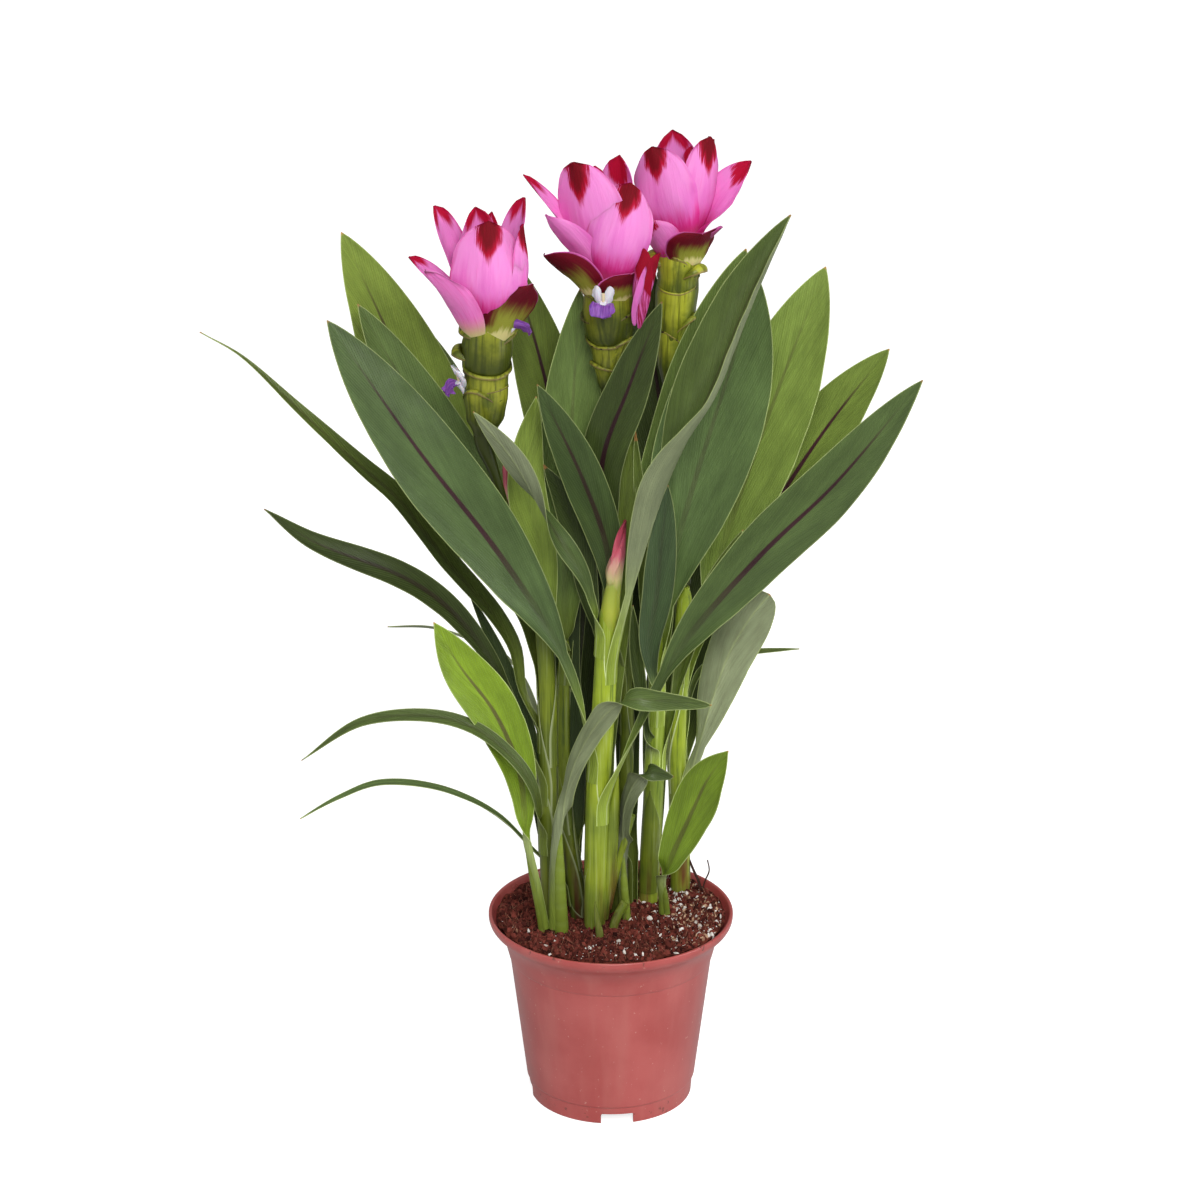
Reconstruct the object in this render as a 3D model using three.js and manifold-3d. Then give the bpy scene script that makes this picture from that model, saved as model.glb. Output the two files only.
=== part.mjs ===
// Potted siam tulip (Curcuma alismatifolia) in a plastic nursery pot.
// Millimetres, +Z up. The origin is the middle of the foot disc under the pot, and the
// plant is seen from the front along +Y.

import * as THREE from 'three';
import { mergeVertices } from 'three/addons/utils/BufferGeometryUtils.js';
import Module from 'manifold-3d';

const wasm = await Module();
wasm.setup();

// Driving dimensions
const gap = 0.3;                 // clearance between neighbouring pieces
const potHeight = 113;
const rimRadius = 70;
const footRadius = 46.8;
const wall = 1.5;                // pot wall and floor
const floorHeight = 6;           // underside of the pot floor over the foot ring
const footDiscRadius = 16;
const stepHeight = 87;           // shallow step in the wall under the rim
const bandHeight = 10.5;         // step over the foot band
const soilHeight = 109.5;
const rhizomeHeight = 72;
const rhizomeRadius = 8;
const stemFoot = 80.7;           // stems stand on the rhizome
const leafMiddle = 0.8;          // blade thickness at the midrib
const leafEdge = 0.6;            // and at the margin
const petioleHalfWidth = 2.7;
const narrowLeaf = 20;           // blades narrower than this are three points wide, not five
const narrowBract = 28;
const claspAngle = 0.85;          // half of the arc that a leaf base wraps round its stem
const claspLength = 12;           // and how far down the stem that base reaches
const petioleAngle = 1;           // half of the arc of a leaf stalk's channel
const petalThickness = 0.8;
const stemSides = 8;
const stemSteps = 7;
const bractAngle = 137.5;        // turn from one pouch of a flower head to the next
const pouchCount = 7;

const vec = (x, y, z) => new THREE.Vector3(x, y, z);
const mix = (a, b, t) => a + (b - a) * t;
const smooth = (from, to, x) => THREE.MathUtils.smoothstep(x, from, to);
const degrees = THREE.MathUtils.degToRad;

// Closed shapes

function signedVolume(positions, index) {
  let volume = 0;
  for (let i = 0; i < index.length; i += 3) {
    const [a, b, c] = [0, 1, 2].map((k) => positions[index[i + k]]);
    volume += a.dot(b.clone().cross(c)) / 6;
  }
  return volume;
}

// A geometry from points and triangles, turned so that its faces point out
function closedGeometry(positions, index) {
  if (signedVolume(positions, index) < 0) index.reverse();
  const geometry = new THREE.BufferGeometry().setFromPoints(positions);
  geometry.setIndex(index);
  return geometry;
}

// A closed thin shell between two grids of points with the same rows and columns
function shellBetween(front, back) {
  const rows = front.length;
  const columns = front[0].length;
  const positions = [...front.flat(), ...back.flat()];
  const index = [];
  const at = (side, row, column) => (side * rows + row) * columns + column;
  const quad = (a, b, c, d) => index.push(a, b, c, a, c, d);
  for (let row = 0; row < rows - 1; row += 1) {
    for (let column = 0; column < columns - 1; column += 1) {
      const corners = [[row, column], [row, column + 1], [row + 1, column + 1], [row + 1, column]];
      const [a, b, c, d] = corners.map(([r, k]) => at(0, r, k));
      const [e, f, g, h] = corners.map(([r, k]) => at(1, r, k));
      index.push(a, b, c, a, c, d);
      index.push(e, g, f, e, h, g);
    }
    quad(at(0, row, 0), at(0, row + 1, 0), at(1, row + 1, 0), at(1, row, 0));
    const last = columns - 1;
    quad(at(0, row + 1, last), at(0, row, last), at(1, row, last), at(1, row + 1, last));
  }
  for (let column = 0; column < columns - 1; column += 1) {
    quad(at(0, 0, column + 1), at(0, 0, column), at(1, 0, column), at(1, 0, column + 1));
    const last = rows - 1;
    quad(at(0, last, column), at(0, last, column + 1), at(1, last, column + 1), at(1, last, column));
  }
  return closedGeometry(positions, index);
}

// A closed solid through rings of points, with a fan over each end
function solidThrough(rings) {
  const sides = rings[0].length;
  const centre = (ring) => ring.reduce((sum, p) => sum.add(p), vec(0, 0, 0)).divideScalar(sides);
  const positions = [...rings.flat(), centre(rings[0]), centre(rings.at(-1))];
  const first = rings.length * sides;
  const index = [];
  for (let side = 0; side < sides; side += 1) {
    const next = (side + 1) % sides;
    for (let ring = 0; ring < rings.length - 1; ring += 1) {
      const [a, b] = [ring * sides + side, ring * sides + next];
      index.push(a, b, b + sides, a, b + sides, a + sides);
    }
    const top = (rings.length - 1) * sides;
    index.push(first, next, side, first + 1, top + side, top + next);
  }
  return closedGeometry(positions, index);
}

function toSolid(geometry) {
  const bare = geometry.clone();
  bare.deleteAttribute('normal');
  bare.deleteAttribute('uv');
  const merged = mergeVertices(bare, 1e-4);
  const mesh = new wasm.Mesh({
    numProp: 3,
    vertProperties: new Float32Array(merged.attributes.position.array),
    triVerts: new Uint32Array(merged.index.array),
  });
  return new wasm.Manifold(mesh);
}

function fromSolid(solid) {
  const mesh = solid.getMesh();
  const geometry = new THREE.BufferGeometry();
  geometry.setAttribute('position', new THREE.BufferAttribute(mesh.vertProperties, 3));
  geometry.setIndex(new THREE.BufferAttribute(mesh.triVerts, 1));
  return geometry;
}

const joined = (geometries) => geometries.map(toSolid).reduce((all, solid) => all.add(solid));

// A round or oval bar along points given as [x, y, z, radius]
function barThrough(stations, steps, sides, extra = 0) {
  const curve = new THREE.CatmullRomCurve3(stations.map(([x, y, z]) => vec(x, y, z)));
  const rings = [];
  for (let step = 0; step <= steps; step += 1) {
    const t = step / steps;
    const centre = curve.getPoint(t);
    const along = curve.getTangent(t);
    const side = vec(1, 0, 0).addScaledVector(along, -along.x).normalize();
    const up = along.clone().cross(side);
    const place = t * (stations.length - 1);
    const before = Math.min(Math.floor(place), stations.length - 2);
    const radius = mix(stations[before][3], stations[before + 1][3], place - before) + extra;
    rings.push(circle(centre, side, up, radius, sides));
  }
  return solidThrough(rings);
}

function circle(centre, side, up, radius, sides) {
  return Array.from({ length: sides }, (_, k) => {
    const angle = (k / sides) * 2 * Math.PI;
    return centre.clone()
      .addScaledVector(side, radius * Math.cos(angle))
      .addScaledVector(up, radius * Math.sin(angle));
  });
}

// Pot

function potSolid() {
  const segments = 28;
  const outer = [
    [footRadius, 0], [footRadius + 0.7, bandHeight], [footRadius + 1.5, bandHeight + 0.8],
    [57.9, stepHeight - 0.3], [58.5, stepHeight + 0.4], [60.9, 97],
    [64.2, 103], [69.2, 107.6], [rimRadius, 110], [rimRadius, potHeight - 0.6], [69.3, potHeight],
  ];
  const inner = [
    [68.2, potHeight - 0.4], [66.8, 108.6], [62.4, 103.8],
    [59.3, 97.5], [57, stepHeight], [44.6, floorHeight + wall],
  ];
  const innerFloor = [[footDiscRadius + 1.5, floorHeight + wall], [footDiscRadius, wall], [0, wall]];
  const under = [
    [0, 0], [footDiscRadius, 0], [footDiscRadius + 1.5, floorHeight],
    [footRadius - 3, floorHeight], [footRadius - 2.2, 0],
  ];
  const profile = [...under, ...outer, ...inner, ...innerFloor];
  const turned = new THREE.LatheGeometry(profile.map(([r, z]) => new THREE.Vector2(r, z)), segments);
  turned.rotateX(Math.PI / 2);
  let pot = toSolid(turned);
  const notch = { width: 22, height: 6.3, depth: 8, count: 4 };
  for (let k = 0; k < notch.count; k += 1) {
    const box = new THREE.BoxGeometry(notch.width, notch.depth, notch.height * 2);
    box.translate(0, -(footRadius - 1.5), 0);
    box.rotateZ((k / notch.count) * 2 * Math.PI);
    pot = pot.subtract(toSolid(box));
  }
  const drain = { radius: 4.5, ring: 31, count: 6, sides: 6 };
  for (let k = 0; k < drain.count; k += 1) {
    const angle = ((k + 0.5) / drain.count) * 2 * Math.PI;
    const hole = new THREE.CylinderGeometry(drain.radius, drain.radius, 12, drain.sides);
    hole.rotateX(Math.PI / 2);
    hole.translate(drain.ring * Math.cos(angle), drain.ring * Math.sin(angle), floorHeight);
    pot = pot.subtract(toSolid(hole));
  }
  return pot;
}

// Stems. Each is a list of axis stations [x, y, z, radius] from the rhizome upwards.

const stems = {
  left: [
    [-31, -9, stemFoot, 4.4], [-33.5, -10, 110, 4.6], [-35, -10, 161, 4.8],
    [-35, -10, 211, 4.8], [-37, -11, 284, 4.8], [-41, -12.5, 312, 3.8],
  ],
  back_left: [
    [-16, 0, stemFoot, 4.6], [-17.5, 0, 110, 4.8], [-22, 2, 142, 4.4],
    [-26, 5, 170, 4.2], [-28, 8, 210, 4], [-27, 9.5, 250, 3.8], [-25.5, 13.5, 276, 2.6],
  ],
  middle: [
    [-9, -11, stemFoot, 5.4], [-9.5, -12, 110, 5.6], [-8.5, -12, 140, 6.2],
    [-7, -12, 198, 6], [-4, -13, 248, 5.6], [-2, -14, 290, 5.4], [-1, -14.5, 309, 4.6],
  ],
  centre: [
    [0, 0, stemFoot, 3.2], [2, 1, 110, 3.6], [5.5, 3, 150, 3.6],
    [9, 6, 205, 3.5], [9, 7, 246, 3.4], [7, 6, 292, 2.9],
  ],
  right: [
    [19.5, 14, stemFoot, 5.2], [21.5, 16, 110, 5.6], [23, 15, 146, 5.2],
    [24.5, 13, 190, 4.8], [25.5, 11, 232, 4.4], [26, 10, 288, 3],
  ],
  far_right: [
    [33, 28, stemFoot, 4.6], [37.5, 31.5, 95, 4.8], [40.5, 34.5, 112, 5], [39, 34, 160, 4.8],
    [37.5, 32, 205, 4.6], [39, 30, 255, 4.6], [42, 30, 300, 4],
  ],
};

// Stem centre and radius at a height
function stemAt(name, z) {
  const stations = stems[name];
  const last = stations.length - 2;
  let k = 0;
  while (k < last && stations[k + 1][2] < z) k += 1;
  const [low, high] = [stations[k], stations[k + 1]];
  const t = THREE.MathUtils.clamp((z - low[2]) / (high[2] - low[2]), 0, 1);
  const slope = (i) => {
    const [a, b] = [stations[Math.max(i - 1, 0)], stations[Math.min(i + 1, stations.length - 1)]];
    return [(b[0] - a[0]) / (b[2] - a[2]), (b[1] - a[1]) / (b[2] - a[2])];
  };
  const rise = high[2] - low[2];
  const hermite = (p, q, m, n) => {
    const [t2, t3] = [t * t, t * t * t];
    const ends = (2 * t3 - 3 * t2 + 1) * p + (3 * t2 - 2 * t3) * q;
    return ends + ((t3 - 2 * t2 + t) * m + (t3 - t2) * n) * rise;
  };
  const [from, to] = [slope(k), slope(k + 1)];
  return {
    centre: vec(hermite(low[0], high[0], from[0], to[0]), hermite(low[1], high[1], from[1], to[1]), z),
    radius: mix(low[3], high[3], t),
  };
}

// Rings up a stem, as many as "count" of its steps, each wider than the stem by "extra"
function stemRings(name, count, extra = 0) {
  const [bottom, top] = [stems[name][0][2], stems[name].at(-1)[2]];
  return Array.from({ length: count + 1 }, (_, step) => {
    const { centre, radius } = stemAt(name, mix(bottom, top, step / stemSteps));
    return circle(centre, vec(1, 0, 0), vec(0, 1, 0), radius + extra, stemSides);
  });
}

const stemGeometry = (name) => solidThrough(stemRings(name, stemSteps));

// The hole in the soil that a stem stands in, open above the soil
function stemHole(name) {
  const rings = stemRings(name, 2, 2 * gap);
  for (const point of rings[0]) point.z -= 2 * gap;
  return solidThrough(rings);
}

// Leaves. A leaf wraps its stem up to the height "leaves", then follows the "via" points to
// its tip. "face" is where the upper side looks, "twist" turns it towards the tip, "blade" is
// the share of the length where the blade starts, and "fold" is half of its channel's arc.

const leaves = {
  left_broad_front: {
    stem: 'middle', leaves: 212, side: 215, via: [[-27, -27, 277], [-56, -33, 339], [-100, -34, 402]],
    tip: [-152, -22, 472], width: 41, face: [0.35, -0.88, 0.3], blade: 0.27,
  },
  left_tall: {
    stem: 'back_left', leaves: 240, side: 150, via: [[-37, 20, 272], [-64, 32, 327], [-102, 42, 403]],
    tip: [-148, 48, 501], width: 38, face: [0.4, -0.85, 0.3], blade: 0.22,
  },
  left_second: {
    stem: 'left', leaves: 260, side: 150, via: [[-45, -2, 297], [-67, 5, 343], [-101, 12, 402]],
    tip: [-138, 18, 469], width: 34, face: [0.4, -0.85, 0.3], blade: 0.2,
  },
  left_back: {
    stem: 'back_left', leaves: 218, side: 100, via: [[-39, 34, 266], [-61, 52, 332], [-90, 64, 402]],
    tip: [-124, 72, 463], width: 30, face: [0.75, -0.5, 0.4], blade: 0.3,
  },
  left_long_thin: {
    stem: 'left', leaves: 228, side: 170,
    via: [[-58, 0, 270], [-88, 5, 318], [-132, 10, 375], [-182, 16, 422]],
    tip: [-225, 22, 452], width: 17, face: [0.35, -0.6, 0.6], blade: 0.22,
  },
  left_side: {
    stem: 'left', leaves: 197, side: 215,
    via: [[-52, -16, 235], [-73, -24, 284], [-115, -32, 328], [-152, -38, 350]],
    tip: [-187, -42, 372], width: 19, face: [0.2, -0.7, 0.6], blade: 0.25,
  },
  left_narrow_back: {
    stem: 'back_left', leaves: 196, side: 165, via: [[-55, 20, 241], [-73, 28, 265], [-97, 36, 272]],
    tip: [-127, 42, 271], width: 12, face: [0.1, -0.4, 0.9], blade: 0.3,
  },
  left_arching_high: {
    stem: 'left', leaves: 166, side: 180,
    via: [[-51, -6, 204], [-74, -14, 228], [-117, -24, 242], [-148, -30, 239]],
    tip: [-172, -34, 221], width: 14, face: [0.1, -0.35, 0.9], blade: 0.25,
  },
  left_arching_low: {
    stem: 'back_left', leaves: 128, side: 170,
    via: [[-55, 5, 157], [-80, 8, 176], [-120, 12, 186], [-152, 14, 179]],
    tip: [-178, 16, 163], width: 13, face: [0.1, -0.3, 0.95], blade: 0.3,
  },
  middle_upright: {
    stem: 'back_left', leaves: 262, side: 280, via: [[-25.5, 6, 324], [-21, 14, 415]],
    tip: [-17, 20, 477], width: 35, face: [0.05, -1, 0.1], blade: 0.12,
  },
  middle_leaning_right: {
    stem: 'centre', leaves: 280, side: 140, via: [[-1.5, 5, 326], [-5, 0, 383], [10, -7, 431]],
    tip: [27, -8, 478], width: 26, face: [-0.2, -0.95, 0.2], blade: 0.25,
  },
  middle_leaning_left: {
    stem: 'centre', leaves: 252, side: 222, via: [[1, -1, 302], [-3, -3, 337], [-16, -11, 379]],
    tip: [-40, -16, 434], width: 24, face: [0.3, -0.9, 0.2], blade: 0.3,
  },
  middle_dark_tip: {
    stem: 'centre', leaves: 232, side: 170, via: [[-11, 3, 297], [-18, 2, 336], [-27, 0, 364]],
    tip: [-37, -4, 384], width: 16, face: [0.2, -0.95, 0.1], blade: 0.4,
  },
  middle_twisted: {
    stem: 'middle', leaves: 288, side: 212, via: [[-15, -26, 326], [-32, -29, 356], [-53, -34, 397]],
    tip: [-74, -38, 426], width: 16, face: [0.3, -0.9, 0.3], twist: 120, blade: 0.25,
  },
  middle_bright: {
    stem: 'left', leaves: 288, side: 60, via: [[-38, -3, 323], [-47, 0, 374]],
    tip: [-41, 6, 420], width: 22, face: [0.2, -1, 0.1], blade: 0.12,
  },
  middle_back_left: {
    stem: 'back_left', leaves: 256, side: 50, via: [[-23, 34, 338], [-31, 44, 391], [-39, 48, 426]],
    tip: [-55, 50, 486], width: 34, face: [0.15, -0.97, 0.1], blade: 0.25,
  },
  middle_back: {
    stem: 'right', leaves: 236, side: 98,
    via: [[32, 28, 280], [33, 42, 335], [27, 52, 403], [20, 58, 448]],
    tip: [14, 64, 497], width: 32, face: [-0.1, -0.98, 0.1], blade: 0.25,
  },
  middle_dry_tip: {
    stem: 'right', leaves: 270, side: 200, via: [[17.5, 5, 300], [17.5, 3, 335]],
    tip: [13, 0, 402], width: 9, face: [-0.3, -0.9, 0.1], blade: 0.3,
  },
  middle_shaded: {
    stem: 'right', leaves: 236, side: 275, via: [[21, -6, 278], [25, -9, 309], [28, -9, 344]],
    tip: [31, -9, 374], width: 17, face: [0.3, 0.9, 0.1], blade: 0.25,
  },
  middle_small: {
    stem: 'right', leaves: 206, side: 250, via: [[18, -3, 241], [14, -5, 275]],
    tip: [12, -5, 302], width: 8, face: [-0.3, -0.9, 0.1], blade: 0.3,
  },
  right_folded_front: {
    stem: 'middle', leaves: 272, side: 320,
    via: [[15, -25, 333], [31, -28, 385], [52, -26, 431], [75, -20, 488]],
    tip: [95, -14, 528], width: 30, face: [-0.8, -0.5, 0.2], blade: 0.2, fold: 0.75,
  },
  right_upright: {
    stem: 'right', leaves: 272, side: 75, via: [[35, 14, 322], [41, 16, 374], [55, 18, 431]],
    tip: [73, 22, 499], width: 34, face: [-0.15, -0.97, 0.15], blade: 0.2,
  },
  right_dark_broad: {
    stem: 'right', leaves: 254, side: 335,
    via: [[37, 4, 302], [42, 1, 344], [53, -1, 404], [60, -1, 437]],
    tip: [78, 2, 491], width: 46, face: [-0.1, -0.98, 0.15], blade: 0.22,
  },
  right_pale_broad: {
    stem: 'far_right', leaves: 252, side: 350, via: [[51, 27, 283], [69, 26, 353], [93, 28, 419]],
    tip: [117, 32, 486], width: 38, face: [-0.25, -0.9, 0.3], blade: 0.22,
  },
  right_behind: {
    stem: 'far_right', leaves: 236, side: 50, via: [[59, 42, 281], [90, 50, 332], [123, 56, 384]],
    tip: [155, 58, 431], width: 26, face: [-0.3, -0.8, 0.5], blade: 0.3,
  },
  right_broad_front: {
    stem: 'middle', leaves: 186, side: 315,
    via: [[16, -25, 238], [38, -31, 288], [80, -38, 345], [120, -40, 388]],
    tip: [166, -36, 443], width: 32, face: [-0.3, -0.85, 0.4], blade: 0.32,
  },
  right_small_strip: {
    stem: 'right', leaves: 206, side: 5, via: [[43, 14, 270], [57, 13, 307]],
    tip: [73, 13, 340], width: 12, face: [-0.4, -0.85, 0.3], blade: 0.3,
  },
  right_underside: {
    stem: 'far_right', leaves: 172, side: 325, via: [[53, 22, 210], [60, 17, 242], [72, 12, 276]],
    tip: [88, 6, 308], width: 24, face: [0.5, 0.8, 0.3], blade: 0.3,
  },
  right_far_back: {
    stem: 'far_right', leaves: 205, side: 45, via: [[52, 50, 233], [78, 74, 244]],
    tip: [110, 88, 239], width: 13, face: [-0.1, -0.3, 0.95], blade: 0.3,
  },
  back_hidden_left: {
    stem: 'back_left', leaves: 165, side: 95, via: [[-23, 28, 225], [-20, 58, 300]],
    tip: [-14, 92, 368], width: 30, face: [0.1, -0.8, 0.6], blade: 0.35,
  },
  back_hidden_right: {
    stem: 'far_right', leaves: 165, side: 110, via: [[42, 55, 225], [46, 80, 300]],
    tip: [52, 108, 360], width: 30, face: [-0.1, -0.8, 0.6], blade: 0.35,
  },
};

// A bare sheath that ends in a point on the stem: its top, its length and its bearing
const bareSheath = { stem: 'right', top: 184, length: 66, side: 250 };

// Young shoots that come up beside the stems: a short stalk and one leaf, grown together
const youngShoots = {
  shoot_front_left: {
    stalk: [[-37, -22, 96, 2.6], [-37.4, -22.6, 112, 2.8], [-44, -25, 145, 2.4], [-48, -26, 163, 1.6]],
    via: [[-60, -28, 217], [-78, -32, 262]],
    tip: [-97, -36, 304], width: 23, face: [0.3, -0.85, 0.4], blade: 0.16,
  },
  shoot_arching: {
    stalk: [[-28, -22.6, 96, 3.8], [-28, -22.6, 112, 4], [-29, -23, 150, 3], [-28, -24, 176, 1.8]],
    via: [[-18, -32, 223], [5, -42, 259], [28, -44, 261]],
    tip: [55, -46, 259], width: 14, face: [0.7, 0.5, 0.4], twist: 40, blade: 0.15,
  },
  shoot_right: {
    stalk: [[32, -3, 96, 2.2], [32, -3, 112, 2.2], [30, -5, 130, 1.9], [29, -6, 142, 1.4]],
    via: [[36, -10, 171], [52, -14, 197]],
    tip: [65, -18, 219], width: 25, face: [-0.4, -0.85, 0.3], blade: 0.12,
  },
  shoot_curled: {
    stalk: [[9, -9, 96, 2.2], [9, -9, 112, 2.4], [7.5, -9.6, 134, 2.2], [7, -10.4, 156, 1.9]],
    via: [[9, -15, 188], [19, -20, 207]],
    tip: [35, -25, 207], width: 9, face: [0.8, 0.4, 0.4], blade: 0.15,
  },
};

// Small spears and a cut stub in the soil, as stations [x, y, z, radius]
const spears = {
  spear_front: [[-6, -29, 98, 2], [-6.5, -29, 112, 2.2], [-8, -29, 122, 1.6], [-9, -29, 132, 0.4]],
  spear_back: [[13, 19, 98, 2.4], [13, 19, 112, 2.6], [12, 17, 130, 1.9], [10.5, 15, 141, 0.4]],
  stub_cut: [[1.5, -18.5, 98, 2.4], [1.5, -18.5, 111, 2.5], [4, -17, 118, 2.5], [8, -15, 125, 2.6]],
};

// Half-width of a blade along its length, 0 at its start and tip and 1 at its widest
const bladeProfile = (t) => (t ** 1.05 * (1 - t) ** 1.15) / (0.477 ** 1.05 * 0.523 ** 1.15);

function turned(vector, axis, angle) {
  return vector.clone().applyAxisAngle(axis, angle);
}

function across(vector, along) {
  return vector.clone().addScaledVector(along, -vector.dot(along)).normalize();
}

// Columns over the width of a blade, from edge to edge
const columnsFor = (width, narrow) => (width < narrow ? [-1, 0, 1] : [-1, -0.5, 0, 0.5, 1]);

// One row over a blade bent to an arc: its points on the upper and on the lower face
function arcRow({ centre, normal, side, half, angle, columns, thicknessAt }) {
  const radius = half / angle;
  const upper = [];
  const lower = [];
  for (const share of columns) {
    const phi = angle * share;
    const point = centre.clone()
      .addScaledVector(normal, radius * (1 - Math.cos(phi)))
      .addScaledVector(side, radius * Math.sin(phi));
    const out = normal.clone().multiplyScalar(Math.cos(phi)).addScaledVector(side, -Math.sin(phi));
    const thickness = thicknessAt(Math.abs(share));
    upper.push(point.clone().addScaledVector(out, thickness / 2));
    lower.push(point.clone().addScaledVector(out, -thickness / 2));
  }
  return { upper, lower };
}

// A leaf as a thin shell along its path
function leafShell(leaf, root) {
  const { via, tip, width, face, blade, twist = 0, fold = 0.3 } = leaf;
  const columns = columnsFor(width, narrowLeaf);
  const thicknessAt = (share) => mix(leafMiddle, leafEdge, share);
  const curve = new THREE.CatmullRomCurve3([...root.path, ...[...via, tip].map((p) => vec(...p))]);
  curve.arcLengthDivisions = 400;
  const length = curve.getLength();
  const claspEnd = root.claspLength / length;
  const bladeAt = [0.15, 0.35, 0.57, 0.8, 1];
  const stations = [0, claspEnd, mix(claspEnd, blade, 0.5), blade, ...bladeAt.map((t) => mix(blade, 1, t))];
  const front = [];
  const back = [];
  for (const u of stations) {
    const along = curve.getTangentAt(u);
    let centre = curve.getPointAt(u);
    const clasp = root.around(centre);
    if (clasp.short > 0) centre = centre.addScaledVector(clasp.outward, clasp.short);
    const free = smooth(0, 7, clasp.clear);
    const t = Math.max(0, (u - blade) / (1 - blade));
    let half = mix(clasp.radius * claspAngle, petioleHalfWidth, free);
    half += Math.max(width / 2 - half, 0) * bladeProfile(t);
    if (t > 0.5) half = Math.max(width / 2 * bladeProfile(t), 0.5);
    const angle = mix(mix(claspAngle, petioleAngle, free), fold, smooth(0, 0.3, t));
    const inward = across(clasp.outward.clone().negate(), along);
    const wanted = across(vec(...face), along);
    const turn = Math.atan2(inward.clone().cross(wanted).dot(along), inward.dot(wanted));
    const settle = smooth(claspEnd, Math.max(blade, claspEnd + 0.12), u);
    const normal = turned(inward, along, turn * settle + degrees(twist) * smooth(0.1, 0.8, t));
    const side = along.clone().cross(normal);
    const { upper, lower } = arcRow({ centre, normal, side, half, angle, columns, thicknessAt });
    front.push(upper);
    back.push(lower);
  }
  return shellBetween(front, back);
}

// Where a leaf base lies on its stem: the start of its path, and how near any point of it is
function rootOnStem({ stem, leaves: height, side, width }) {
  const halfChord = claspAngle / (columnsFor(width, narrowLeaf).length - 1);
  const radiusAt = (z) => {
    const { radius } = stemAt(stem, z);
    return (radius + gap + 0.1) / Math.cos(halfChord) + leafMiddle / 2;
  };
  const outward = vec(Math.cos(degrees(side)), Math.sin(degrees(side)), 0);
  const onSurface = (z) => stemAt(stem, z).centre.addScaledVector(outward, radiusAt(z));
  const around = (point) => {
    const centre = stemAt(stem, point.z).centre;
    const offset = point.clone().sub(centre).setZ(0);
    const radius = radiusAt(point.z);
    const beyond = point.z - stems[stem].at(-1)[2];
    const clear = Math.max(offset.length() - radius, beyond);
    return { outward: offset.normalize(), radius, clear: Math.max(clear, 0), short: -clear };
  };
  return { path: [onSurface(height - claspLength), onSurface(height)], claspLength, around };
}

const leafGeometry = (leaf) => leafShell(leaf, rootOnStem(leaf));

function sheathGeometry({ stem, top, length, side }) {
  const bearing = vec(Math.cos(degrees(side)), Math.sin(degrees(side)), 0);
  const front = [];
  const back = [];
  const wrap = 1.35;
  const rows = [[0, 1], [0.4, 1], [0.75, 0.8], [1, 0.05]];
  for (const [rise, share] of rows) {
    const z = top - length * (1 - rise);
    const { centre, radius } = stemAt(stem, z);
    const inner = (radius + 2 * gap) / Math.cos(wrap / 4);
    const frontRow = [];
    const backRow = [];
    for (let k = -2; k <= 2; k += 1) {
      const direction = turned(bearing, vec(0, 0, 1), (wrap * share * k) / 2);
      frontRow.push(centre.clone().addScaledVector(direction, inner));
      backRow.push(centre.clone().addScaledVector(direction, inner + leafMiddle));
    }
    front.push(frontRow);
    back.push(backRow);
  }
  return shellBetween(front, back);
}

// The stalk of a young shoot, and its leaf growing out of the stalk's upper end
function youngShootSolid(shoot) {
  const [below, top] = shoot.stalk.slice(-2).map(([x, y, z]) => vec(x, y, z));
  const outward = vec(...shoot.via[0]).sub(below).setZ(0).normalize();
  const around = () => ({ outward, radius: 2.4, clear: 0, short: 0 });
  const root = { path: [below, top], claspLength: below.distanceTo(top), around };
  return joined([barThrough(shoot.stalk, 3, 7), leafShell(shoot, root)]);
}

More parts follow.
